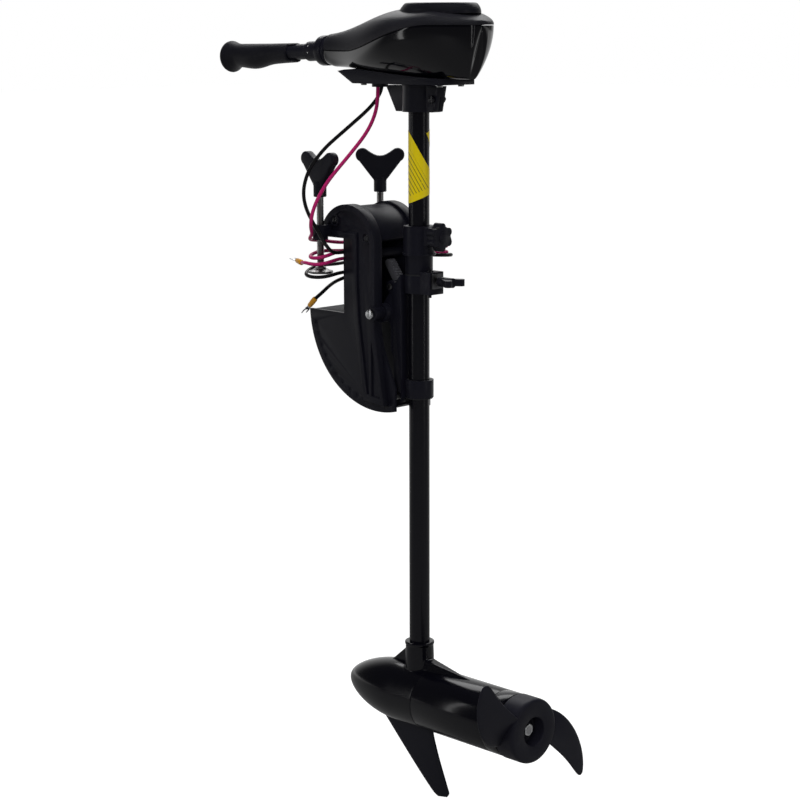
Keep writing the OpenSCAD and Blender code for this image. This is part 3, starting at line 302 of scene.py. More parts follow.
def grain_group():
    """Moulded or cast surface: slow change of tone, fine grain, and lighter rubbed patches."""
    tree, given, out = new_group(
        "moulded_grain", "ShaderNodeTree",
        [PLACE, ("Dark", COLOUR, BLACK), ("Light", COLOUR, BLACK), ("Grain", NUMBER, 900), ("Roughness", NUMBER, 0.5),
         ("Spread", NUMBER, 0.1), ("Rub", NUMBER, 0.3)], SURFACE)
    slow = noise(tree, given["Place"], 14.0, 3.0)
    fine = noise(tree, given["Place"], given["Grain"])
    pits = link(tree, "ShaderNodeTexVoronoi", {"Vector": given["Place"], "Scale": given["Grain"]}).outputs[0]
    patches = noise(tree, given["Place"], 46.0, 6.0, 0.65)
    rub = calc(tree, "MULTIPLY", calc(tree, "MULTIPLY_ADD", patches, 5.0, -2.9, clamped=True), given["Rub"])
    tone = calc(tree, "ADD", calc(tree, "MULTIPLY", slow, 0.8), calc(tree, "MULTIPLY", fine, 0.25), clamped=True)
    shown = calc(tree, "ADD", tone, rub, clamped=True)
    swing = calc(tree, "MULTIPLY", calc(tree, "SUBTRACT", slow, 0.5), given["Spread"])
    rough = calc(tree, "ADD", calc(tree, "ADD", given["Roughness"], swing), calc(tree, "MULTIPLY", rub, -0.25),
                 clamped=True)
    tree.links.new(tint(tree, shown, given["Dark"], given["Light"]), out["Color"])
    tree.links.new(rough, out["Roughness"])
    tree.links.new(calc(tree, "ADD", fine, calc(tree, "MULTIPLY", pits, 0.6)), out["Height"])
    return tree


def peel_group():
    """Glossy paint or polished plastic: faint orange peel, dust specks and fine scratches."""
    tree, given, out = new_group(
        "gloss_peel", "ShaderNodeTree",
        [PLACE, ("Deep", COLOUR, BLACK), ("Dust", COLOUR, (0.2, 0.2, 0.2, 1)), ("Peel", NUMBER, 160),
         ("Roughness", NUMBER, 0.1), ("Specks", NUMBER, 0.5)], SURFACE)
    peel = noise(tree, given["Place"], given["Peel"], 1.0)
    haze = noise(tree, given["Place"], 22.0, 5.0)
    specks = link(tree, "ShaderNodeTexVoronoi", {"Vector": given["Place"], "Scale": 420.0}).outputs[0]
    dust = calc(tree, "MULTIPLY", calc(tree, "MULTIPLY_ADD", specks, -16.0, 1.0, clamped=True), given["Specks"])
    drawn_out = link(tree, "ShaderNodeMapping", {"Vector": given["Place"], "Scale": (900, 60, 40),
                                                 "Rotation": (0.4, 0.7, 0.3)}).outputs[0]
    scratches = calc(tree, "MULTIPLY_ADD", noise(tree, drawn_out, 1.0), 9.0, -6.3, clamped=True)
    rough = calc(tree, "MULTIPLY_ADD", haze, 0.09, given["Roughness"])
    rough = calc(tree, "ADD", calc(tree, "ADD", rough, calc(tree, "MULTIPLY", scratches, 0.1)),
                 calc(tree, "MULTIPLY", dust, 0.4), clamped=True)
    tree.links.new(tint(tree, dust, given["Deep"], given["Dust"]), out["Color"])
    tree.links.new(rough, out["Roughness"])
    tree.links.new(calc(tree, "ADD", peel, calc(tree, "MULTIPLY", dust, 0.5)), out["Height"])
    return tree


def metal_group():
    """Plated or turned metal: brushed streaks, blotches of tone and small pits."""
    tree, given, out = new_group(
        "worked_metal", "ShaderNodeTree",
        [PLACE, ("Dark", COLOUR, BLACK), ("Light", COLOUR, WHITE), ("Stretch", VECTOR, (900, 900, 60)),
         ("Roughness", NUMBER, 0.3)], SURFACE)
    lay = link(tree, "ShaderNodeMapping", {"Vector": given["Place"], "Scale": given["Stretch"]}).outputs[0]
    streak = noise(tree, lay, 1.0, 3.0)
    blotch = noise(tree, given["Place"], 70.0, 4.0)
    tone = calc(tree, "ADD", calc(tree, "MULTIPLY", streak, 0.6), calc(tree, "MULTIPLY", blotch, 0.5), clamped=True)
    swing = calc(tree, "MULTIPLY", calc(tree, "SUBTRACT", tone, 0.5), 0.25)
    tree.links.new(tint(tree, tone, given["Dark"], given["Light"]), out["Color"])
    tree.links.new(calc(tree, "ADD", given["Roughness"], swing, clamped=True), out["Roughness"])
    tree.links.new(calc(tree, "ADD", streak, calc(tree, "MULTIPLY", blotch, 0.4)), out["Height"])
    return tree


GROUPS = {"grain": grain_group(), "peel": peel_group(), "metal": metal_group()}


def shade4(colour, factor=1.0):
    return tuple(c * factor for c in colour) + (1.0,)


def material(name, kind, values, bump, depth=0.0001, **shader):
    """A Principled material whose colour, roughness and relief come from one of the shared groups."""
    mat = bpy.data.materials.new(name)
    mat.use_nodes = True
    tree = mat.node_tree
    principled = node_of(tree, "BSDF_PRINCIPLED")
    surface = tree.nodes.new("ShaderNodeGroup")
    surface.node_tree = GROUPS[kind]
    tree.links.new(own_place(tree), surface.inputs["Place"])
    for key, value in values.items():
        surface.inputs[key].default_value = value
    relief = link(tree, "ShaderNodeBump", {"Height": surface.outputs["Height"], "Strength": bump, "Distance": depth})
    tree.links.new(surface.outputs["Color"], principled.inputs["Base Color"])
    tree.links.new(surface.outputs["Roughness"], principled.inputs["Roughness"])
    tree.links.new(relief.outputs[0], principled.inputs["Normal"])
    for key, value in shader.items():
        principled.inputs[key.replace("_", " ")].default_value = value
    return mat


def base_colour(mat):
    """A material's node tree, its base colour's socket and what feeds that socket."""
    socket = node_of(mat.node_tree, "BSDF_PRINCIPLED").inputs["Base Color"]
    return mat.node_tree, socket, socket.links[0].from_socket


def moulded(name, colour, rough, grain=900, bump=0.25, light=1.7, rub=0.25, **shader):
    return material(name, "grain", {"Dark": shade4(colour, 0.75), "Light": shade4(colour, light), "Grain": grain,
                                    "Roughness": rough, "Spread": 0.14, "Rub": rub}, bump,
                    **{"Specular_IOR_Level": 0.2, **shader})


def glossy(name, colour, rough, peel=160, bump=0.02, specks=0.35, **shader):
    return material(name, "peel", {"Deep": shade4(colour), "Dust": shade4((0.12, 0.12, 0.125)), "Peel": peel,
                                   "Roughness": rough, "Specks": specks}, bump, 0.0004,
                    **{"Specular_IOR_Level": 0.35, **shader})


def metal(name, dark, light, rough, stretch=(900, 900, 60), bump=0.12, **shader):
    return material(name, "metal", {"Dark": shade4(dark), "Light": shade4(light), "Roughness": rough,
                                    "Stretch": stretch}, bump, Metallic=1.0, **shader)


CLAMP = moulded("clamp_nylon", (0.0062, 0.0062, 0.0105), 0.42, grain=1100, bump=0.22)
BRACKET = moulded("bracket_nylon", (0.0066, 0.0066, 0.011), 0.38, grain=1000, bump=0.2)
PAD = moulded("ridged_pad", (0.014, 0.014, 0.018), 0.5, grain=800, bump=0.3)
KNOB = moulded("knob_plastic", (0.0075, 0.0075, 0.0115), 0.36, grain=1200, bump=0.16)
BUSH = moulded("bush_acetal", (0.02, 0.02, 0.022), 0.4, grain=1500, bump=0.08)
LEVER = moulded("lever_grey", (0.06, 0.06, 0.068), 0.45, grain=1000, bump=0.25)
COVER = moulded("cover_charcoal", (0.0125, 0.0125, 0.016), 0.44, grain=1300, bump=0.2, light=1.5)
LID = moulded("lid_satin", (0.0065, 0.0065, 0.0095), 0.4, grain=1300, bump=0.16)
NECK = moulded("neck_nylon", (0.006, 0.006, 0.01), 0.33, grain=900, bump=0.16)
RUBBER = moulded("grip_rubber", (0.0065, 0.0065, 0.0095), 0.55, grain=650, bump=0.35)
HUB = moulded("propeller_nylon", (0.009, 0.009, 0.0145), 0.43, grain=1200, bump=0.16)
SEAL = moulded("seal_rubber", (0.008, 0.008, 0.008), 0.6, grain=900, bump=0.3)
PHENOLIC = moulded("phenolic_board", (0.16, 0.07, 0.025), 0.4, grain=500, bump=0.25)
FERRITE = moulded("ferrite", (0.03, 0.03, 0.033), 0.6, grain=2200, bump=0.5)
SHELL = glossy("shell_piano_black", (0.0016, 0.0016, 0.0032), 0.045, peel=90, bump=0.015, Coat_Weight=0.1)
SHAFT = glossy("shaft_black", (0.003, 0.003, 0.0055), 0.2, peel=260, bump=0.05)
POD = glossy("pod_enamel", (0.002, 0.002, 0.0042), 0.13, peel=200, bump=0.05, Coat_Weight=0.1)
WIRE_RED = glossy("wire_crimson", (0.52, 0.012, 0.15), 0.28, peel=500, bump=0.05, specks=0.1)
WIRE_BLACK = glossy("wire_black", (0.006, 0.006, 0.007), 0.3, peel=500, bump=0.05, specks=0.1)
SLEEVE = glossy("sleeve_amber", (0.72, 0.33, 0.02), 0.3, peel=400, bump=0.05, specks=0.1)
ZINC = metal("zinc_plate", (0.26, 0.26, 0.26), (0.52, 0.52, 0.51), 0.3)
BRIGHT = metal("bright_steel", (0.45, 0.46, 0.47), (0.8, 0.81, 0.82), 0.2)
TINNED = metal("tinned_copper", (0.5, 0.5, 0.52), (0.82, 0.82, 0.84), 0.24, stretch=(300, 300, 300))
NUT_GREY = metal("nut_cast_grey", (0.09, 0.09, 0.095), (0.2, 0.2, 0.21), 0.42, stretch=(240, 240, 240), bump=0.3)


MOTOR_END_X = 0.255  # metres: the armature's shaft end is beyond it


def windings():
    """Copper in the motor, plain steel on the shaft end that comes out behind it."""
    mat = metal("windings", (0.35, 0.12, 0.04), (0.72, 0.33, 0.14), 0.35, stretch=(60, 900, 900))
    tree, socket, copper = base_colour(mat)
    x = link(tree, "ShaderNodeSeparateXYZ", {0: own_place(tree)}).outputs[0]
    tree.links.new(tint(tree, calc(tree, "GREATER_THAN", x, MOTOR_END_X), copper, (0.5, 0.5, 0.51, 1)), socket)
    return mat


RULE_STEP, RULE_HALF, RULE_SLOPE = 0.0043, 0.0008, 1.26  # the tape's printed rules, in metres
RULES_FROM, RULES_TO, FOOT_SLOPE = 0.085, 0.292, -0.3


def marker_film():
    """Yellow film with a few plain printed rules across it."""
    mat = glossy("marker_film", (0.95, 0.74, 0.004), 0.3, peel=300, bump=0.03, specks=0.05)
    tree, socket, base = base_colour(mat)
    x, y, z = link(tree, "ShaderNodeSeparateXYZ", {0: own_place(tree)}).outputs
    across = calc(tree, "ADD", y, x)
    slant = calc(tree, "MULTIPLY_ADD", across, RULE_SLOPE, z)
    line = calc(tree, "LESS_THAN", calc(tree, "PINGPONG", slant, RULE_STEP), RULE_HALF)
    foot = calc(tree, "MULTIPLY_ADD", across, FOOT_SLOPE, z)
    band = calc(tree, "MULTIPLY", calc(tree, "GREATER_THAN", foot, RULES_FROM),
                calc(tree, "LESS_THAN", slant, RULES_TO))
    breaks = calc(tree, "GREATER_THAN", noise(tree, own_place(tree), 220.0), 0.32)
    ink = calc(tree, "MULTIPLY", calc(tree, "MULTIPLY", calc(tree, "MULTIPLY", line, band), breaks), 0.95)
    tree.links.new(tint(tree, ink, base, (0.03, 0.03, 0.02, 1)), socket)
    return mat


FILM = marker_film()
WINDINGS = windings()


# ---------------------------------------------------------------- wires

WIRE, GLAND_X, GLAND_Y = 5.0, 37, 4
SCREW_X, SCREW_Y, KNOB_Z = -22, 57, 107
RED_DOWN = [(37, -4, 262), (37, -4, 250), (42, -12, 224), (41, -28, 196), (25, -46, 165), (8, -68, 132),
            (-1, -82, 105), (-5, -89, 84), (-7, -88, 73), (-12, -85, 65)]
BLACK_DOWN = [(37, 4, 262), (37, 4, 250), (28, -8, 228), (5, -31, 199), (-8, -59, 174), (-12, -70, 161),
              (-20, -77, 147), (-28, -82, 118), (-24, -81, 92), (-8, -77, 66), (0, -70, 46)]
RED_TAIL = [(-38, -72, 18), (-47, -66, 16), (-55, -62, 15)]
BLACK_TAIL = [(-7, -18, 3), (-12, -4, 0), (-22, 2, -5), (-32, -5, -9), (-34, -20, -13), (-29, -37, -18),
              (-27, -50, -25), (-31, -60, -33)]
HANK = [(-44, -57), (-41, -68), (-33, -76), (-22, -79), (-11, -76), (-3, -68), (0, -57), (-6, -36), (-6, 36),
        (-1, 49), (10, 54.5), (72, 54.5), (85, 56.5), (93, 64), (95.5, 73.5), (93, 83), (85, 90), (72, 92), (-22, 80),
        (-33, 76), (-41, 68), (-44, 57)]
HANK_STEPS = 72  # points to one turn
LEAD_IN, LEAD_IN_STEPS = 24, 20  # how high the red lead comes in, and how soon it is down
SAG, DIP, WAVE = 4.5, 9, 0.8  # between the screws, on the near side, and from turn to turn
ROUTE_STEP, EASINGS = 3.2, 14


def evened(points, count):
    """The same line with that many equal steps."""
    marks = [0.0]
    for a, b in zip(points, points[1:]):
        marks.append(marks[-1] + (b - a).length)
    out, k = [], 0
    for i in range(count + 1):
        at = marks[-1] * i / count
        while k < len(points) - 2 and marks[k + 1] < at:
            k += 1
        out.append(points[k].lerp(points[k + 1], (at - marks[k]) / max(marks[k + 1] - marks[k], 1e-9)))
    return out


def relaxed(points, passes):
    """The same line with its corners eased; its ends stay."""
    for _ in range(passes):
        middle = [(a + 2 * b + c) / 4 for a, b, c in zip(points, points[1:], points[2:])]
        points = [points[0]] + middle + [points[-1]]
    return points


def hank_turns(start, turns, way, offset, top, bottom):
    """Turns of wire round the clamp screws, from the ring's point nearest to start.

    way is 1 or -1 for the direction; a positive offset lies inside the ring.
    """
    ring = evened([Vector((x, y, 0)) for x, y in HANK + HANK[:1]], HANK_STEPS)[:-1]
    for _ in range(3):
        ring = [(ring[i - 1] + 2 * ring[i] + ring[(i + 1) % HANK_STEPS]) / 4 for i in range(HANK_STEPS)]
    first = min(range(HANK_STEPS), key=lambda i: (ring[i] - Vector((start[0], start[1], 0))).length)
    total = round(turns * HANK_STEPS)
    out = []
    for i in range(total + 1):
        k = (first + way * i) % HANK_STEPS
        along = ring[(k + 1) % HANK_STEPS] - ring[k - 1]
        side = Vector((along.y, -along.x, 0)).normalized()
        here = ring[k] + side * -offset
        sag = SAG * math.cos(math.pi * here.y / (2 * SCREW_Y)) if abs(here.y) < SCREW_Y else 0
        dip = DIP * (1 - ease((here.y + 80) / 50))
        lead_in = LEAD_IN * clamp(1 - i / LEAD_IN_STEPS) ** 3 if way < 0 else 0
        here.z = mix(top, bottom, i / total) - sag - dip + lead_in + WAVE * math.sin(i * 0.37 + offset)
        out.append(here)
    return out


def wire(name, finish, down, turns, tail):
    """One lead: a smooth tube along its whole route, as a curve of one open spline."""
    route = through([Vector(p) for p in down], 6) + turns + [Vector(p) for p in tail]
    route = relaxed(evened(route, round(length_of(route) / ROUTE_STEP)), EASINGS)
    curve = bpy.data.curves.new(name, "CURVE")
    curve.dimensions = "3D"
    curve.bevel_depth = WIRE / 2 * MM
    curve.bevel_resolution = 5
    curve.use_fill_caps = True
    spline = curve.splines.new("POLY")
    spline.points.add(len(route) - 1)
    for point, p in zip(spline.points, route):
        point.co = (*(p * MM), 1)
    spline.use_smooth = True
    curve.materials.append(finish)
    obj = new_object(name, curve)
    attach(obj, "shaft")
    return obj, route


def turned_profile(profile, sides=48):
    """A closed body of revolution about local +Z, from (radius, height) pairs in millimetres."""
    rings, points = [], []
    for r, h in profile:
        if r == 0:  # on the axis
            rings.append([len(points)])
            points.append((0, 0, h))
        else:
            rings.append(list(range(len(points), len(points) + sides)))
            points += [(r * math.cos(TAU * i / sides), r * math.sin(TAU * i / sides), h) for i in range(sides)]
    faces = []
    for a, b in zip(rings, rings[1:] + rings[:1]):
        for i in range(sides):
            j = (i + 1) % sides
            face = list(dict.fromkeys([a[i % len(a)], a[j % len(a)], b[j % len(b)], b[i % len(b)]]))
            if len(face) > 2:
                faces.append(face)
    return points, faces


UPRIGHT = Matrix.Identity(3)
ALONG_X = Matrix.Rotation(math.radians(90), 3, "Y")
SIDEWAYS = Matrix(((1, 0, 0), (0, 0, -1), (0, 1, 0)))  # an outline's X and Y become X and Z


def moved(points, at=(0, 0, 0), turn=UPRIGHT):
    return [turn @ Vector(p) + Vector(at) for p in points]


def joined(name, *parts):
    """One mesh from several lists of points and faces."""
    points, faces = [], []
    for p, f in parts:
        faces += [[i + len(points) for i in face] for face in f]
        points += p
    return new_object(name, mesh_of(name, points, faces))


def arc(centre, r, start, end, steps):
    """Points of an arc in a plane, angles in degrees."""
    return [(centre[0] + r * math.cos(math.radians(mix(start, end, i / steps))),
             centre[1] + r * math.sin(math.radians(mix(start, end, i / steps)))) for i in range(steps + 1)]


def extruded(outline, low, high):
    """A slab from an outline in local X and Y, between two heights."""
    n = len(outline)
    points = [(x, y, low) for x, y in outline] + [(x, y, high) for x, y in outline]
    faces = [list(range(n))[::-1], list(range(n, 2 * n))]
    faces += [[i, (i + 1) % n, n + (i + 1) % n, n + i] for i in range(n)]
    return points, faces


def fork_terminal(name, at, way, tilt):
    """Crimped fork: vinyl sleeve, barrel and slotted tongue, running along local +X from the wire's end."""
    turn = Matrix.Rotation(math.radians(way), 3, "Z") @ Matrix.Rotation(math.radians(tilt), 3, "Y")
    sleeve = turned_profile([(0, -1), (3.0, -1), (3.5, -0.3), (3.8, 1.5), (3.8, 9), (3.55, 10), (3.5, 15.4),
                                  (3.3, 16), (0, 16)])
    barrel = turned_profile([(0, 15), (2.7, 15), (2.75, 18.6), (2.2, 19.6), (0, 19.6)])
    tongue = ([(17, -2.4), (21, -4.4)] + arc((27.5, 0), 5.2, 235, 285, 5)
              + [(34.2, -4.9), (34.5, -4.4), (34.2, -2.9), (29, -2.8)] + arc((28.4, 0), 2.8, 270, 90, 14)
              + [(29, 2.8), (34.2, 2.9), (34.5, 4.4), (34.2, 4.9)] + arc((27.5, 0), 5.2, 75, 125, 5)
              + [(21, 4.4), (17, 2.4)])
    pieces = []
    for label, (points, faces), finish, slot, edge in (
            ("sleeve", (moved(sleeve[0], turn=ALONG_X), sleeve[1]), SLEEVE, "sleeve_yellow", 0),
            ("barrel", (moved(barrel[0], turn=ALONG_X), barrel[1]), TINNED, "zinc_steel", 0),
            ("tongue", extruded(tongue, -0.5, 0.5), TINNED, "zinc_steel", 0.2)):
        obj = joined(f"{name}_{label}", (moved(points, at, turn), faces))
        obj = rounded(obj, edge) if edge else obj
        pieces.append(place(obj, "shaft", finish, slot))
    return pieces


red_turns = hank_turns((-20, -79), 2.03, -1, 3.4, 43, 24)
black_turns = hank_turns((0, -57), 1.06, 1, -2.2, 36, 6)
red_lead, red_path = wire("red_lead", WIRE_RED, RED_DOWN, red_turns, RED_TAIL)
black_lead, black_path = wire("black_lead", WIRE_BLACK, BLACK_DOWN, black_turns, BLACK_TAIL)
red_fork = fork_terminal("red_fork", red_path[-1], 180 - 20, -4)
black_fork = fork_terminal("black_fork", black_path[-1], 180 - 6, 40)
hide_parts("red_wire", "wire_hank")
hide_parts("black_wire")
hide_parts("fork_terminals")
print("wire lengths", [round(length_of(p)) for p in (red_path, black_path)])


# ---------------------------------------------------------------- shapes on the object's axes

SHAFT_X, SHAFT_R, POD_Z, POD_R = 110, 14, -581, 43.2
SEAM_X, NOSE_LEN, HUB_X, HUB_LEN, HUB_R = 134, 158, 290, 32, 44
HEAD_FRONT, HEAD_BASE, HEAD_LEN, HEAD_W = -55, 267, 278, 64
TILLER_AT = Vector((-81, 0, 300.5))
TILLER_TURN = Matrix.Rotation(math.radians(-92.4), 3, "Y")


def lathe(name, profile, at, turn=UPRIGHT, sides=96):
    points, faces = turned_profile(profile, sides)
    return joined(name, (moved(points, at, turn), faces))


def on_motor(name, profile, sides=128):
    return lathe(name, profile, (0, 0, POD_Z), ALONG_X, sides)


def round_bar(name, at, r, low, high, turn=UPRIGHT, sides=48):
    return lathe(name, [(0, low), (r, low), (r, high), (0, high)], at, turn, sides)


def loft(name, rings):
    """A closed skin through rings of points, each ring a closed loop of the same number of points."""
    n = len(rings[0])
    faces = [[k * n + i, k * n + (i + 1) % n, (k + 1) * n + (i + 1) % n, (k + 1) * n + i]
             for k in range(len(rings) - 1) for i in range(n)]
    faces += [list(range(n))[::-1], [(len(rings) - 1) * n + i for i in range(n)]]
    return new_object(name, mesh_of(name, [p for ring in rings for p in ring], faces))


# ---------------------------------------------------------------- screw threads by Geometry Nodes

def thread_tree():
    """Adds a screw thread to the given core: a wound wire of small section."""
    geometry = "NodeSocketGeometry"
    tree, given, out = new_group("screw_thread", "GeometryNodeTree", [
        ("Geometry", geometry, None), ("Turns", NUMBER, 10.0), ("Radius", NUMBER, 0.005), ("Height", NUMBER, 0.02),
        ("Start", VECTOR, (0, 0, 0)), ("Depth", NUMBER, 0.0005), ("Material", "NodeSocketMaterial", None)],
        [("Geometry", geometry)])
    spiral = link(tree, "GeometryNodeCurveSpiral", {
        "Resolution": 24, "Rotations": given["Turns"], "Start Radius": given["Radius"],
        "End Radius": given["Radius"], "Height": given["Height"]})
    section = link(tree, "GeometryNodeCurvePrimitiveCircle", {"Resolution": 6, "Radius": given["Depth"]})
    ridge = link(tree, "GeometryNodeCurveToMesh", {"Curve": spiral.outputs[0], "Profile Curve": section.outputs[0],
                                                   "Fill Caps": True})
    set_up = link(tree, "GeometryNodeTransform", {"Geometry": ridge.outputs[0], "Translation": given["Start"]})
    both = link(tree, "GeometryNodeJoinGeometry", {"Geometry": given["Geometry"]})
    tree.links.new(set_up.outputs[0], both.inputs[0])
    real = link(tree, "GeometryNodeRealizeInstances", {"Geometry": both.outputs[0]})
    done = link(tree, "GeometryNodeSetMaterial", {"Geometry": real.outputs[0], "Material": given["Material"]})
    tree.links.new(done.outputs[0], out["Geometry"])
    return tree


THREAD = thread_tree()


def through_nodes(obj, tree, finish, **values):
    """Runs an object through a geometry tree and bakes the result."""
    change = obj.modifiers.new(tree.name, "NODES")
    change.node_group = tree
    sockets = {s.name: s.identifier for s in tree.interface.items_tree if s.in_out == "INPUT"}
    for key, value in {"Material": finish, **values}.items():
        change[sockets[key]] = value
    return baked(obj)


# ---------------------------------------------------------------- control head

HEAD_WIDEST, HEAD_HIGHEST = 0.62, 0.8  # along the head, from 0 to 1
TILLER_BORE = 11.9


def head_half(t):
    """Half the head's width at t along it, from 0 at the front to 1 at the rear."""
    if t < HEAD_WIDEST:
        return mix(18, HEAD_W, ease(t / HEAD_WIDEST) ** 0.85)
    return HEAD_W * math.sqrt(max(0.0, 1 - ((t - HEAD_WIDEST) / (1 - HEAD_WIDEST)) ** 2.9))


def head_low(t):
    return HEAD_BASE + mix(13, 0, ease(t / 0.8) ** 1.2) + 5 * (1 - clamp(t / 0.07)) ** 2


def head_seam(t):
    return HEAD_BASE + mix(35, 68, ease((t - 0.2) / 0.65) ** 1.1)


def head_high(t):
    if t < HEAD_HIGHEST:
        return HEAD_BASE + mix(55, 90, ease((t + 0.1) / 0.7) ** 1.15)
    return HEAD_BASE + mix(90, 73, ((t - HEAD_HIGHEST) / (1 - HEAD_HIGHEST)) ** 1.6)


def half_ring(t, upper, wall=0.0, steps=44):
    """Points across the head at t, from its far side over the roof (or under the belly) to its near side."""
    seam, half = head_seam(t), head_half(t) - wall
    reach = (head_high(t) - seam if upper else head_low(t) - seam) + (-wall if upper else wall)
    out = []
    for i in range(steps + 1):
        u = 2 * i / steps
        a = math.pi / 4 * (1 - math.cos(math.pi * u)) if u <= 1 else math.pi / 4 * (3 + math.cos(math.pi * (2 - u)))
        c, s = math.cos(a), math.sin(a)
        depth = 0 if upper else abs(s) ** 0.7
        x = HEAD_FRONT + HEAD_LEN * t - 15 * depth ** 2 * ease((t - 0.55) / 0.45)
        taper = mix(0.14, 0.4, ease((t - 0.25) / 0.35)) * depth ** 1.8
        y = half * math.copysign(abs(c) ** (0.95 if upper else 0.3), c) * (1 - taper)
        out.append(Vector((x, y, seam + reach * (abs(s) ** 0.78 if upper else depth))))
    return out


def head_half_shell(name, upper, gap):
    """Upper or lower shell: an open skin with its front and rear ends, thickened inwards."""
    last = 0.992
    stations = [last * (1 - (1 - i / 150) ** 1.5) for i in range(151)]
    rings = [half_ring(t, upper) for t in stations]
    front, rear = rings[0], rings[-1]
    n = len(front)
    hole_z = TILLER_AT.z - (HEAD_FRONT - TILLER_AT.x) * math.tan(math.radians(2.4))
    way = TILLER_BORE if upper else -TILLER_BORE
    bore = [Vector((HEAD_FRONT, TILLER_BORE * math.cos(math.pi * i / (n - 1)),
                    hole_z + way * math.sin(math.pi * i / (n - 1)))) for i in range(n)]
    face = [[a.lerp(b, f) for a, b in zip(bore, front)] for f in (0.0, 0.3, 0.6, 0.86)]
    middle = Vector((rear[0].x + 2.2, 0, head_seam(last)))
    back = []
    for f in (0.08, 0.2, 0.4, 0.62, 0.84):
        ring = [a.lerp(middle, f) for a in rear]
        for p in ring:
            p.x += 2.2 * ((1 - (1 - f) ** 2) ** 0.5 - f)
        back.append(ring)
    rings = face + rings + back
    points = [p + Vector((0, 0, gap)) for ring in rings for p in ring]
    faces = [[k * n + i, k * n + i + 1, (k + 1) * n + i + 1, (k + 1) * n + i]
             for k in range(len(rings) - 1) for i in range(n - 1)]
    centre = len(points)
    points.append(middle + Vector((0.15, 0, gap)))
    faces += [[(len(rings) - 1) * n + i, (len(rings) - 1) * n + i + 1, centre] for i in range(n - 1)]
    if not upper:
        faces = [f[::-1] for f in faces]
    obj = new_object(name, mesh_of(name, points, faces, outward=False))
    wall = obj.modifiers.new("wall", "SOLIDIFY")
    wall.thickness = 3 * MM
    wall.offset = -1
    wall.use_even_offset = False
    obj = baked(obj)
    face_outwards(obj.data)
    return obj


LID_X, LID_Z, LID_HALF_LEN, LID_HALF_W = HEAD_FRONT + HEAD_LEN * 0.73, HEAD_BASE + 83, 60, 46
LID_EDGE = [(0, 0), (1.0, 0.0), (1.0, 0.8), (0.996, 3), (0.987, 5.5), (0.974, 7.2), (0.96, 8.6), (0.944, 10),
            (0.922, 11.6), (0.9, 12.8), (0.87, 13.4), (0.8, 13.75), (0.6, 13.9), (0.3, 13.98), (0, 14.0)]
PLATE_LOW, PLATE_HALF_W = HEAD_BASE - 8, 34
PLATE_TOP = [(150, 1.5), (118, 3.5), (70, 7.5), (25, 11.5), (3, 10), (-10, 8)]  # X, height over HEAD_BASE


def make_head():
    lower = cut(head_half_shell("lower_shell_skin", False, -0.35),
                round_bar("bore", (SHAFT_X, 0, 0), SHAFT_R + 0.2, 240, 300))
    place(rounded(lower, 0.7, 2, 40), "shaft", SHELL, "shell_gloss", "lower_shell", angle=35)
    upper = head_half_shell("upper_cover_skin", True, 0.35)
    place(rounded(upper, 0.9, 2, 40), "shaft", COVER, "cover_plastic", "upper_cover", angle=35)
    outline = [(19, PLATE_LOW), (178, PLATE_LOW), (178, HEAD_BASE + 0.5)] + [(x, HEAD_BASE + z) for x, z in PLATE_TOP]
    points, faces = extruded(outline, -PLATE_HALF_W, PLATE_HALF_W)
    plate = fused(joined("base_plate_moulded", (moved(points, turn=SIDEWAYS), faces)),
                  round_bar("gland", (GLAND_X, 0, 0), 11, PLATE_LOW - 5, PLATE_LOW + 1))
    holes = [((SHAFT_X, 0, 0), SHAFT_R + 0.05)] + [((GLAND_X, y, 0), WIRE / 2) for y in (-GLAND_Y, GLAND_Y)]
    belly = loft("belly", [half_ring(i / 40 * 0.99, False, -0.15) for i in range(41)])
    plate = cut(plate, belly, *(round_bar("hole", at, r, 200, 330) for at, r in holes))
    place(rounded(plate, 0.6, 2, 40), "shaft", NECK, slot_of("base_plate"), "base_plate", angle=35)
    points, faces = turned_profile(LID_EDGE, 120)
    points = [(LID_X + LID_HALF_LEN * x * (1 + 0.012 * z * min(0.0, x)), LID_HALF_W * y, LID_Z + z)
              for x, y, z in points]
    place(joined("lid_cap", (points, faces)), "shaft", LID, "cover_plastic", "lid", angle=50)


# ---------------------------------------------------------------- tiller

GRIP_START, GRIP_LEN, GRIP_BORE = 58, 134, 10.95
INDEX_DOTS = [(18.6, -38), (11.6, -58), (11.2, -98)]  # millimetres along the tube, degrees round it


def grip_radius(s, a):
    """Grip surface at s along it from 0 to 1 and at the angle a from its upper side: one belly below."""
    flare = clamp((s - 0.8) / 0.15) ** 1.6
    above = 12.3 + 4.2 * s + 4.4 * flare
    below = 14.2 + 2.2 * s + 5.2 * math.exp(-((s - 0.56) / (0.19 if s < 0.56 else 0.22)) ** 2) + 7.6 * flare
    return mix(below, above, 0.5 + 0.5 * math.cos(a))


def mouth_reach(a):
    """How far the grip's inner end reaches along the tube: two tongues, above and below."""
    off = abs(math.degrees(math.acos(clamp(abs(math.cos(a))))))
    return (14 if math.cos(a) > 0 else 12) * ease((37 - off) / 11)


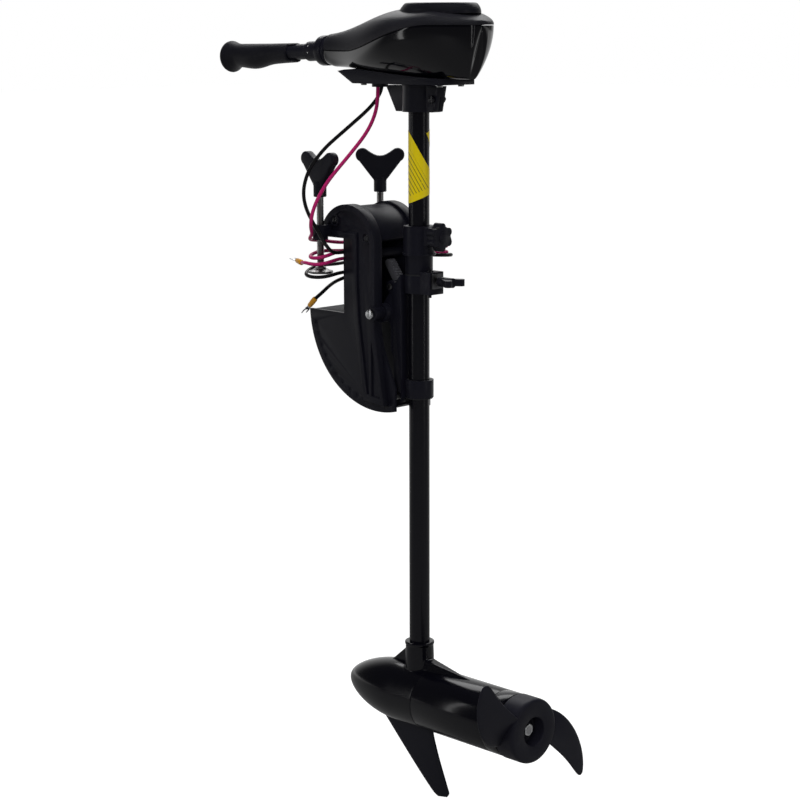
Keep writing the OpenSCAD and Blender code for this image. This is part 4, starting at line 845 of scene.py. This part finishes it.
def make_grip():
    sides, steps = 120, 110
    rings = []
    for k in range(steps + 1):
        s = k / steps
        start = 1 - (1 - clamp(s * GRIP_LEN / 2.4)) ** 2
        end = math.sqrt(max(0.0, 1 - clamp((s * GRIP_LEN - (GRIP_LEN - 7)) / 7) ** 2))
        ring = []
        for i in range(sides):
            a = TAU * i / sides
            r = grip_radius(s, a) - 1.2 * (1 - start) - 6 * (1 - end)
            tongue = mouth_reach(a) * (1 - clamp(s * GRIP_LEN / 40))
            ring.append(Vector((r * math.cos(a), r * math.sin(a), s * GRIP_LEN - tongue)))
        rings.append(ring)
    lip, inner = ([Vector((GRIP_BORE * math.cos(a), GRIP_BORE * math.sin(a), z(a)))
                   for a in (TAU * i / sides for i in range(sides))]
                  for z in (lambda a: 0.4 - mouth_reach(a), lambda a: GRIP_LEN - 26))
    end_rings = [[Vector((p.x * f, p.y * f, GRIP_LEN + 0.5 * (1 - f * f))) for p in rings[-1]]
                 for f in (0.85, 0.6, 0.3)]
    skin = [[TILLER_TURN @ (p + Vector((0, 0, GRIP_START))) + TILLER_AT for p in ring]
            for ring in [inner, lip] + rings + end_rings]
    place(loft("grip_skin", skin), "grip", RUBBER, "grip_rubber", "twist_grip", angle=50)


def make_tiller():
    make_grip()
    tube = [(8.3, -136), (10.75, -136), (10.75, -4.7), (11.2, -4.4), (13.1, -4.2), (13.5, -3.6), (13.5, 19.8),
            (13.1, 20.4), (11.2, 20.6), (10.75, 21), (10.75, 162), (8.3, 162)]
    place(lathe("tiller_tube_turned", tube, TILLER_AT, TILLER_TURN, 72), "tiller", CLAMP, "cover_plastic",
          "tiller_tube")
    dots = []
    for along, angle in INDEX_DOTS:
        disc = turned_profile([(0, 13.1), (0.9, 13.3), (0.9, 13.62), (0, 13.66)], 20)
        turn = Matrix.Rotation(math.radians(angle), 3, "Z") @ ALONG_X
        dots.append((moved(moved(disc[0], (0, 0, along), turn), TILLER_AT, TILLER_TURN), disc[1]))
    place(joined("index_marks", *dots), "tiller", MARK, "cover_plastic")
    softened("tiller_collar", 0.7, NECK)


# ---------------------------------------------------------------- pod

def nose_radius(s):
    return POD_R * max(0.0, math.sin(math.pi / 2 * clamp(s) ** 0.92)) ** 0.62


def make_nose():
    """Nose casting: body, socket and fins run together with small fillets, then bored out."""
    start = SEAM_X - NOSE_LEN
    body = [(0, start)] + [(nose_radius((i / 60) ** 1.6), (i / 60) ** 1.6 * 110 + start) for i in range(1, 61)]
    body += [(POD_R, SEAM_X), (0, SEAM_X)]
    socket = [(0, 20), (20.4, 20), (19.8, 60), (19.3, 74.4), (20.4, 75.2), (20.4, 78.4), (19.8, 79), (0, 79)]
    fin = extruded([(100, 30), (55.5, 37.5), (57.5, 40.2), (86, 64.5), (100, 68)], -2.5, 2.5)
    wedge = [[Vector((x, y, z + POD_Z)) for y, z in ((-half, 30), (half, 30), (half * 0.55, top), (-half * 0.55, top))]
             for x, half, top in ((112, 17, 58), (132, 14, 55), (205, 1.6, 43.8))]
    whole = fused(on_motor("body", body), lathe("socket", socket, (SHAFT_X, 0, POD_Z)),
                  joined("fin", (moved(fin[0], (0, 0, POD_Z), SIDEWAYS), fin[1])), loft("wedge", wedge))
    remesh = whole.modifiers.new("skin", "REMESH")
    remesh.mode = "VOXEL"
    remesh.voxel_size = 0.85 * MM
    ease_off = whole.modifiers.new("ease", "SMOOTH")
    ease_off.factor = 0.5
    ease_off.iterations = 8
    whole = baked(whole)
    whole = cut(whole, round_bar("rear", (0, 0, POD_Z), POD_R + 0.05, SEAM_X, SEAM_X + 140, ALONG_X, 128),
                round_bar("carrier", (0, 0, POD_Z), 37.2, SEAM_X - 79, SEAM_X + 10, ALONG_X, 96),
                round_bar("bore", (SHAFT_X, 0, POD_Z), SHAFT_R + 0.02, 38.4, 90))
    place(whole, "shaft", POD, "pod_paint", "nose_casting", angle=40)


# X and height under the pod's lowest line
SKEG_LEAD = [(44.8, -5.4), (68.8, -29), (92.6, -52), (116.2, -74), (139.6, -94.4)]
SKEG_TRAIL = [(136.7, -7), (139.6, -17.3), (148.3, -41.3), (159.9, -69), (168.5, -89.3)]


def make_skeg():
    steps, chord = 48, 22
    edges = [through([Vector((x, 0, z + POD_Z - POD_R)) for x, z in line], steps // 4)
             for line in (SKEG_LEAD, SKEG_TRAIL)]
    rings = []
    for k in range(-6, steps + 1):
        s = k / steps
        lead, trail = (line[max(k, 0)] for line in edges)
        rise = max(0.0, -s) * 95
        lead, trail = lead + Vector((-0.95 * rise, 0, rise)), trail + Vector((0, 0, rise))
        close = 1 - clamp((s - 0.93) / 0.07) ** 2.4
        middle = (lead + trail) / 2 + Vector((0, 0, -3.0 * (1 - close)))
        half = 3 * (1 - 0.45 * clamp(s)) * max(0.12, close ** 0.5)
        ring = []
        for i in range(2 * chord):
            a = TAU * i / (2 * chord)
            where = middle + (lead - trail) * 0.5 * math.cos(a) * mix(0.6, 1.0, close)
            thick = half * math.copysign(abs(math.sin(a)) ** 0.55, math.sin(a))
            ring.append(where + Vector((0, thick, 0)))
        rings.append(ring)
    place(loft("skeg_plate", rings), "shaft", SKEG, "prop_plastic", "skeg", angle=50)


PROP_R, BLADE_PITCH = 130, 150


def blade_rings(turn):
    """Sections of a propeller blade from its root to its tip, in the pod's own axes."""
    spans, chord = 60, 20
    rings = []
    for k in range(spans + 1):
        s = 1 - (1 - k / spans) ** 1.5
        lead, trail = 23 - 58 * s, -39 - 6 * s * s
        fill = math.sqrt(max(0.0, 1 - s ** 14))
        r = HUB_R - 3 + (PROP_R - HUB_R + 3) * s
        middle, half = (lead + trail) / 2, (lead - trail) / 2 * fill + 0.4
        ring = []
        for i in range(2 * chord):
            a = TAU * i / (2 * chord)
            u = math.cos(a)
            t = (3 * (1 - 0.72 * s) * max(0.0, 1 - u * u) ** 0.5 + 0.45) * math.copysign(
                min(1.0, abs(math.sin(a)) * 4), math.sin(a))
            at = math.radians(middle + half * u)
            x = HUB_X + HUB_LEN / 2 - BLADE_PITCH * (math.degrees(at) + 3) / 360 + t
            ring.append(Matrix.Rotation(math.radians(turn), 3, "X") @ Vector((x, r * math.cos(at), r * math.sin(at)))
                        + Vector((0, 0, POD_Z)))
        rings.append(ring)
    return rings


def make_propeller():
    h, e, r = HUB_X, HUB_X + HUB_LEN, HUB_R
    hub = [(5.2, h + 6), (22, h + 6), (22, h + 0.5), (22.5, h), (r - 6.5, h), (r - 6, h + 0.5), (r - 6, h + 6.5),
           (r - 5, h + 6.5), (r - 5, h + 0.4), (r - 0.6, h + 0.1), (r, h + 0.8), (r, e - 6), (r - 0.3, e - 3.6),
           (r - 1.2, e - 1.6), (r - 2.6, e - 0.5), (r - 4.4, e), (20.6, e), (19.8, e - 0.5), (19.5, e - 1.4),
           (19.3, h + 14.5), (18.8, h + 13.6), (17.6, h + 13), (5.2, h + 13)]
    whole = fused(on_motor("propeller_moulding", hub), *(loft("blade", blade_rings(turn)) for turn in (0, 180)))
    place(whole, "propeller", HUB, "prop_plastic", "propeller", angle=38)


def make_pod():
    make_nose()
    make_skeg()
    r, end = POD_R, SEAM_X + 131
    can = [(r - 3.4, SEAM_X), (r - 0.8, SEAM_X), (r - 0.2, SEAM_X + 0.3), (r, SEAM_X + 0.9), (r, end - 0.9),
           (r - 0.2, end - 0.3), (r - 0.8, end), (r - 3.4, end)]
    place(on_motor("can_painted", can), "shaft", POD, "pod_paint", "motor_can", angle=50)
    make_propeller()


# ---------------------------------------------------------------- clamp screws and knobs

def wing_outline():
    """The knob's two wings in local X and Z: a round lobe on each side and a shallow dip between them."""
    lobe = arc(Vector((24.5, 51)), 9.5, -62, 128, 24)
    dip = [(13, 54.6), (8, 51.8), (4, 50.4)]
    rest = lobe + dip
    return ([(-8.6, 14), (8.6, 14), (9.2, 17), (13.6, 22.5)] + rest + [(0, 50)] + [(-x, y) for x, y in rest[::-1]]
            + [(-13.6, 22.5), (-9.2, 17)])


def make_wing_knob(node, body, side, turn, finish):
    turned = Matrix.Rotation(math.radians(turn), 3, "Z")
    at = (SCREW_X, side * SCREW_Y, KNOB_Z)
    stem = turned_profile([(5.05, 0.8), (5.8, 0), (8.2, 0), (8.9, 0.7), (8.9, 19), (8.4, 20.5), (0, 20.5),
                                   (0, 20), (5.05, 20)], 56)
    slab = extruded(wing_outline(), -6.5, 6.5)
    wings = rounded(joined("wings", (moved(slab[0], at, turned @ SIDEWAYS), slab[1])), 3.0, 5, 50)
    whole = fused(joined("knob", (moved(stem[0], at, turned), stem[1])), wings)
    whole = cut(whole, round_bar("bore", at, 5.02, -2, 20.0))
    whole.name = node + "_moulded"
    place(whole, body, finish, "knob_plastic", node, angle=42)


def make_clamp_screws():
    for name, side, turn in (("left", -1, -3), ("right", 1, 45)):
        core = turned_profile([(0, 6), (4.2, 6), (4.5, 6.4), (4.5, 8.9), (7.4, 9.2), (7.5, 9.6), (7.5, 11.3),
                                       (7.2, 11.6), (4.5, 11.7), (4.5, 126.5), (4.1, 127), (0, 127)], 40)
        rod = joined(f"screw_{name}_threaded", core)
        rod = through_nodes(rod, THREAD, ZINC, Turns=57.0, Radius=0.0046, Height=0.114, Start=(0, 0, 0.0125),
                            Depth=0.0005)
        for v in rod.data.vertices:
            v.co += mm(SCREW_X, side * SCREW_Y, 0)
        face_outwards(rod.data)
        place(rod, f"{name}_screw", ZINC, "zinc_steel", f"screw_{name}", angle=25)
        make_wing_knob(f"wing_knob_{name}", f"{name}_screw", side, turn, KNOB)
        foot = [(5.1, 3.2), (0, 3.2), (0, 0), (15.4, 0), (16.6, 0.4), (17, 1.2), (17, 2.4), (16.4, 3.2), (12, 4.4),
                (9.5, 6), (5.1, 6)]
        place(lathe(f"foot_{name}_pressed", foot, (SCREW_X, side * SCREW_Y, 3)), f"{name}_foot", ZINC, "zinc_steel",
              f"foot_{name}")


# ---------------------------------------------------------------- what keeps the CAD shape with softer edges

def dress(node, finish):
    """A carried-over CAD node gets its material."""
    obj = frame["nodes"][node]
    obj.data.materials.clear()
    obj.data.materials.append(finish)


def make_softened():
    for node, width, finish in (
            ("side_plate_left", 1.0, CLAMP), ("side_plate_right", 1.0, CLAMP), ("clamp_bridge", 1.2, CLAMP),
            ("transom_pad", 0.4, PAD), ("spacer_tube", 0.4, CLAMP), ("bridge_bolts", 0.35, SHAFT),
            ("tilt_pin", 0.7, BRIGHT), ("swivel_bracket", 0.8, BRACKET), ("tension_nut", 0.6, NUT_GREY),
            ("tension_nut_pin", 0.3, SHAFT), ("tension_knob", 1.6, KNOB), ("tilt_lever", 0.5, LEVER),
            ("lever_pin", 0.4, ZINC), ("depth_collar", 0.9, BRACKET), ("depth_knob", 1.4, KNOB),
            ("neck_clamp", 1.0, NECK), ("neck_screw", 0.4, SHAFT),
            ("end_cap", 0.5, POD), ("drive_fixings", 0.4, BRIGHT), ("cover_screws", 0.3, ZINC),
            ("swivel_bushes", 0.3, BUSH), ("depth_screw", 0.5, ZINC), ("tension_screw", 0.5, ZINC)):
        softened(node, width, finish)
    for node, finish in (
            ("tension_shoe", BUSH), ("depth_shoe", BUSH), ("lock_pin", ZINC), ("pull_rod", ZINC),
            ("shaft_leads", WIRE_RED), ("drive_tube", BUSH), ("switch_spindle", ZINC), ("speed_switch", PHENOLIC),
            ("pod_seals", SEAL), ("magnets", FERRITE), ("armature", WINDINGS), ("bearings", BRIGHT),
            ("brush_gear", PHENOLIC), ("through_bolts", ZINC), ("marker_tape", FILM)):
        dress(node, finish)


# The edge of the tape's second end: degrees round the shaft, its lower and its upper height
TAPE_END = [(-2, 195, 195.2), (12, 190.2, 196.4), (28, 184.4, 198), (45, 179, 199.5), (62, 173.5, 201.5),
            (78, 168, 203)]


def make_tape_end():
    """The other end of the marker tape, which comes round to the near side again."""
    low, high = SHAFT_R + 0.02, SHAFT_R + 0.28
    rings = [[(SHAFT_X + r * math.cos(math.radians(a)), r * math.sin(math.radians(a)), z)
              for r, z in ((low, z0), (high, z0), (high, z1), (low, z1))]
             for a, z0, z1 in through([Vector(e) for e in TAPE_END], 5)]
    place(loft("marker_tape_end", rings), "shaft", FILM, slot_of("marker_tape"))


NOTCHES, NOTCH_STEP, NOTCH_AT, TILT_AT = 13, 7.5, (24, 0, -120.9), (66, 0, -46)


def make_notch_floors():
    """Thin floors that close the outer ends of the lock pin's notches in both side plates."""
    points, faces = turned_profile([(0, -0.35), (3.0, -0.35), (3.0, 0.35), (0, 0.35)], 24)
    for side, name in ((-1, "left"), (1, "right")):
        discs = []
        for k in range(NOTCHES):
            at = Matrix.Rotation(math.radians(NOTCH_STEP * k), 3, "Y") @ Vector(NOTCH_AT) + Vector(TILT_AT)
            discs.append((moved(points, at + Vector((0, side * 34.0, 0)), SIDEWAYS), faces))
        node = f"side_plate_{name}"
        place(joined(f"notch_floors_{name}", *discs), body_of(node), CLAMP, slot_of(node))


def make_shaft():
    bottom, top = POD_Z + POD_R - 4.8, 262
    tube = [(11.5, bottom), (13.6, bottom), (14, bottom + 0.4), (14, top - 0.4), (13.6, top), (11.5, top)]
    place(lathe("shaft_painted", tube, (SHAFT_X, 0, 0)), "shaft", SHAFT, "shaft_paint", "shaft_tube")


MARK = moulded("index_white", (0.55, 0.55, 0.54), 0.5, grain=1500, bump=0.05, light=1.2)
SKEG = moulded("skeg_nylon", (0.0075, 0.0075, 0.0125), 0.42, grain=1200, bump=0.16)

make_head()
make_tiller()
make_pod()
make_clamp_screws()
make_softened()
make_shaft()
make_tape_end()
make_notch_floors()


# ---------------------------------------------------------------- floor and light

FLOOR, FLOOR_Z, FLOOR_GREY, FLOOR_GLOW = 25, -0.7275, 0.25, 0.94  # metres, and shares of white
BEHIND = (-0.7, 0.7, 0)  # the way from the object to the background that the camera sees
MIRROR_NEAR, MIRROR_FAR = 0.04, 0.8  # strength of the white in mirrors


def seen_background(tree, where, start, stop, dim):
    """Strength of the white background: 1 to the camera and through glass, in mirrors only on the far side."""
    path = tree.nodes.new("ShaderNodeLightPath").outputs
    far = link(tree, "ShaderNodeVectorMath", {0: where, 1: BEHIND}, operation="DOT_PRODUCT").outputs["Value"]
    far = link(tree, "ShaderNodeMapRange", {
        "Value": far, "From Min": start, "From Max": stop, "To Min": MIRROR_NEAR, "To Max": MIRROR_FAR},
        interpolation_type="SMOOTHSTEP").outputs[0]
    direct = calc(tree, "MAXIMUM", path["Is Camera Ray"], path["Is Transmission Ray"])
    given = calc(tree, "MAXIMUM", direct, calc(tree, "MULTIPLY", path["Is Glossy Ray"], far))
    either = calc(tree, "MAXIMUM", direct, path["Is Glossy Ray"])
    return calc(tree, "MAXIMUM", given, calc(tree, "MULTIPLY", calc(tree, "SUBTRACT", 1.0, either), dim))


def studio():
    """A wide white floor that keeps its shadow, and a white world."""
    floor = bpy.data.meshes.new("floor")
    corners = [(-FLOOR, -FLOOR), (FLOOR, -FLOOR), (FLOOR, FLOOR), (-FLOOR, FLOOR)]
    floor.from_pydata([(x, y, FLOOR_Z) for x, y in corners], [], [[0, 1, 2, 3]])
    stand = new_object("floor", floor)
    mat = bpy.data.materials.new("floor")
    mat.use_nodes = True
    tree = mat.node_tree
    principled = node_of(tree, "BSDF_PRINCIPLED")
    principled.inputs["Base Color"].default_value = shade4((FLOOR_GREY,) * 3)
    principled.inputs["Roughness"].default_value = 0.9
    strength = calc(tree, "MULTIPLY", seen_background(tree, own_place(tree), 0.2, 2.5, 0.0), FLOOR_GLOW)
    glow = link(tree, "ShaderNodeEmission", {"Color": WHITE, "Strength": strength})
    both = link(tree, "ShaderNodeAddShader", {0: principled.outputs[0], 1: glow.outputs[0]})
    tree.links.new(both.outputs[0], node_of(tree, "OUTPUT_MATERIAL").inputs["Surface"])
    floor.materials.append(mat)
    world = bpy.data.worlds.new("studio")
    bpy.context.scene.world = world
    world.use_nodes = True
    tree = world.node_tree
    tree.nodes.clear()
    way = tree.nodes.new("ShaderNodeTexCoord").outputs["Generated"]
    both = link(tree, "ShaderNodeBackground", {"Color": WHITE,
                                               "Strength": seen_background(tree, way, 0.6, 1.0, 0.25)})
    out = tree.nodes.new("ShaderNodeOutputWorld")
    tree.links.new(both.outputs[0], out.inputs["Surface"])


def lamp(name, at, target, size, power, mirrored):
    data = bpy.data.lights.new(name, "AREA")
    data.shape = "RECTANGLE"
    data.size, data.size_y = size
    data.energy = power
    obj = new_object(name, data)
    obj.location = at
    obj.rotation_euler = (Vector(target) - Vector(at)).to_track_quat("-Z", "Y").to_euler()
    obj.visible_glossy = mirrored
    obj.visible_camera = False


studio()
for name, at, target, size, power, mirrored in (
        ("top", (0.3, -0.2, 2.2), (0.1, 0, 0), (2.0, 2.0), 36, False),
        ("front", (1.9, -2.6, 0.9), (0.1, 0, -0.1), (1.4, 1.4), 24, False),
        ("behind", (-0.9, 1.5, 1.7), (0.1, 0, -0.4), (2.6, 1.1), 26, True),
        ("left_strip", (-1.4, -2.0, 0.3), (0.1, 0, -0.1), (0.16, 1.8), 2.6, True),
        ("right_strip", (2.3, 0.5, 0.3), (0.1, 0, -0.2), (0.16, 1.8), 2.6, True)):
    lamp(name, at, target, size, power, mirrored)

bpy.context.scene.view_settings.view_transform = "Standard"
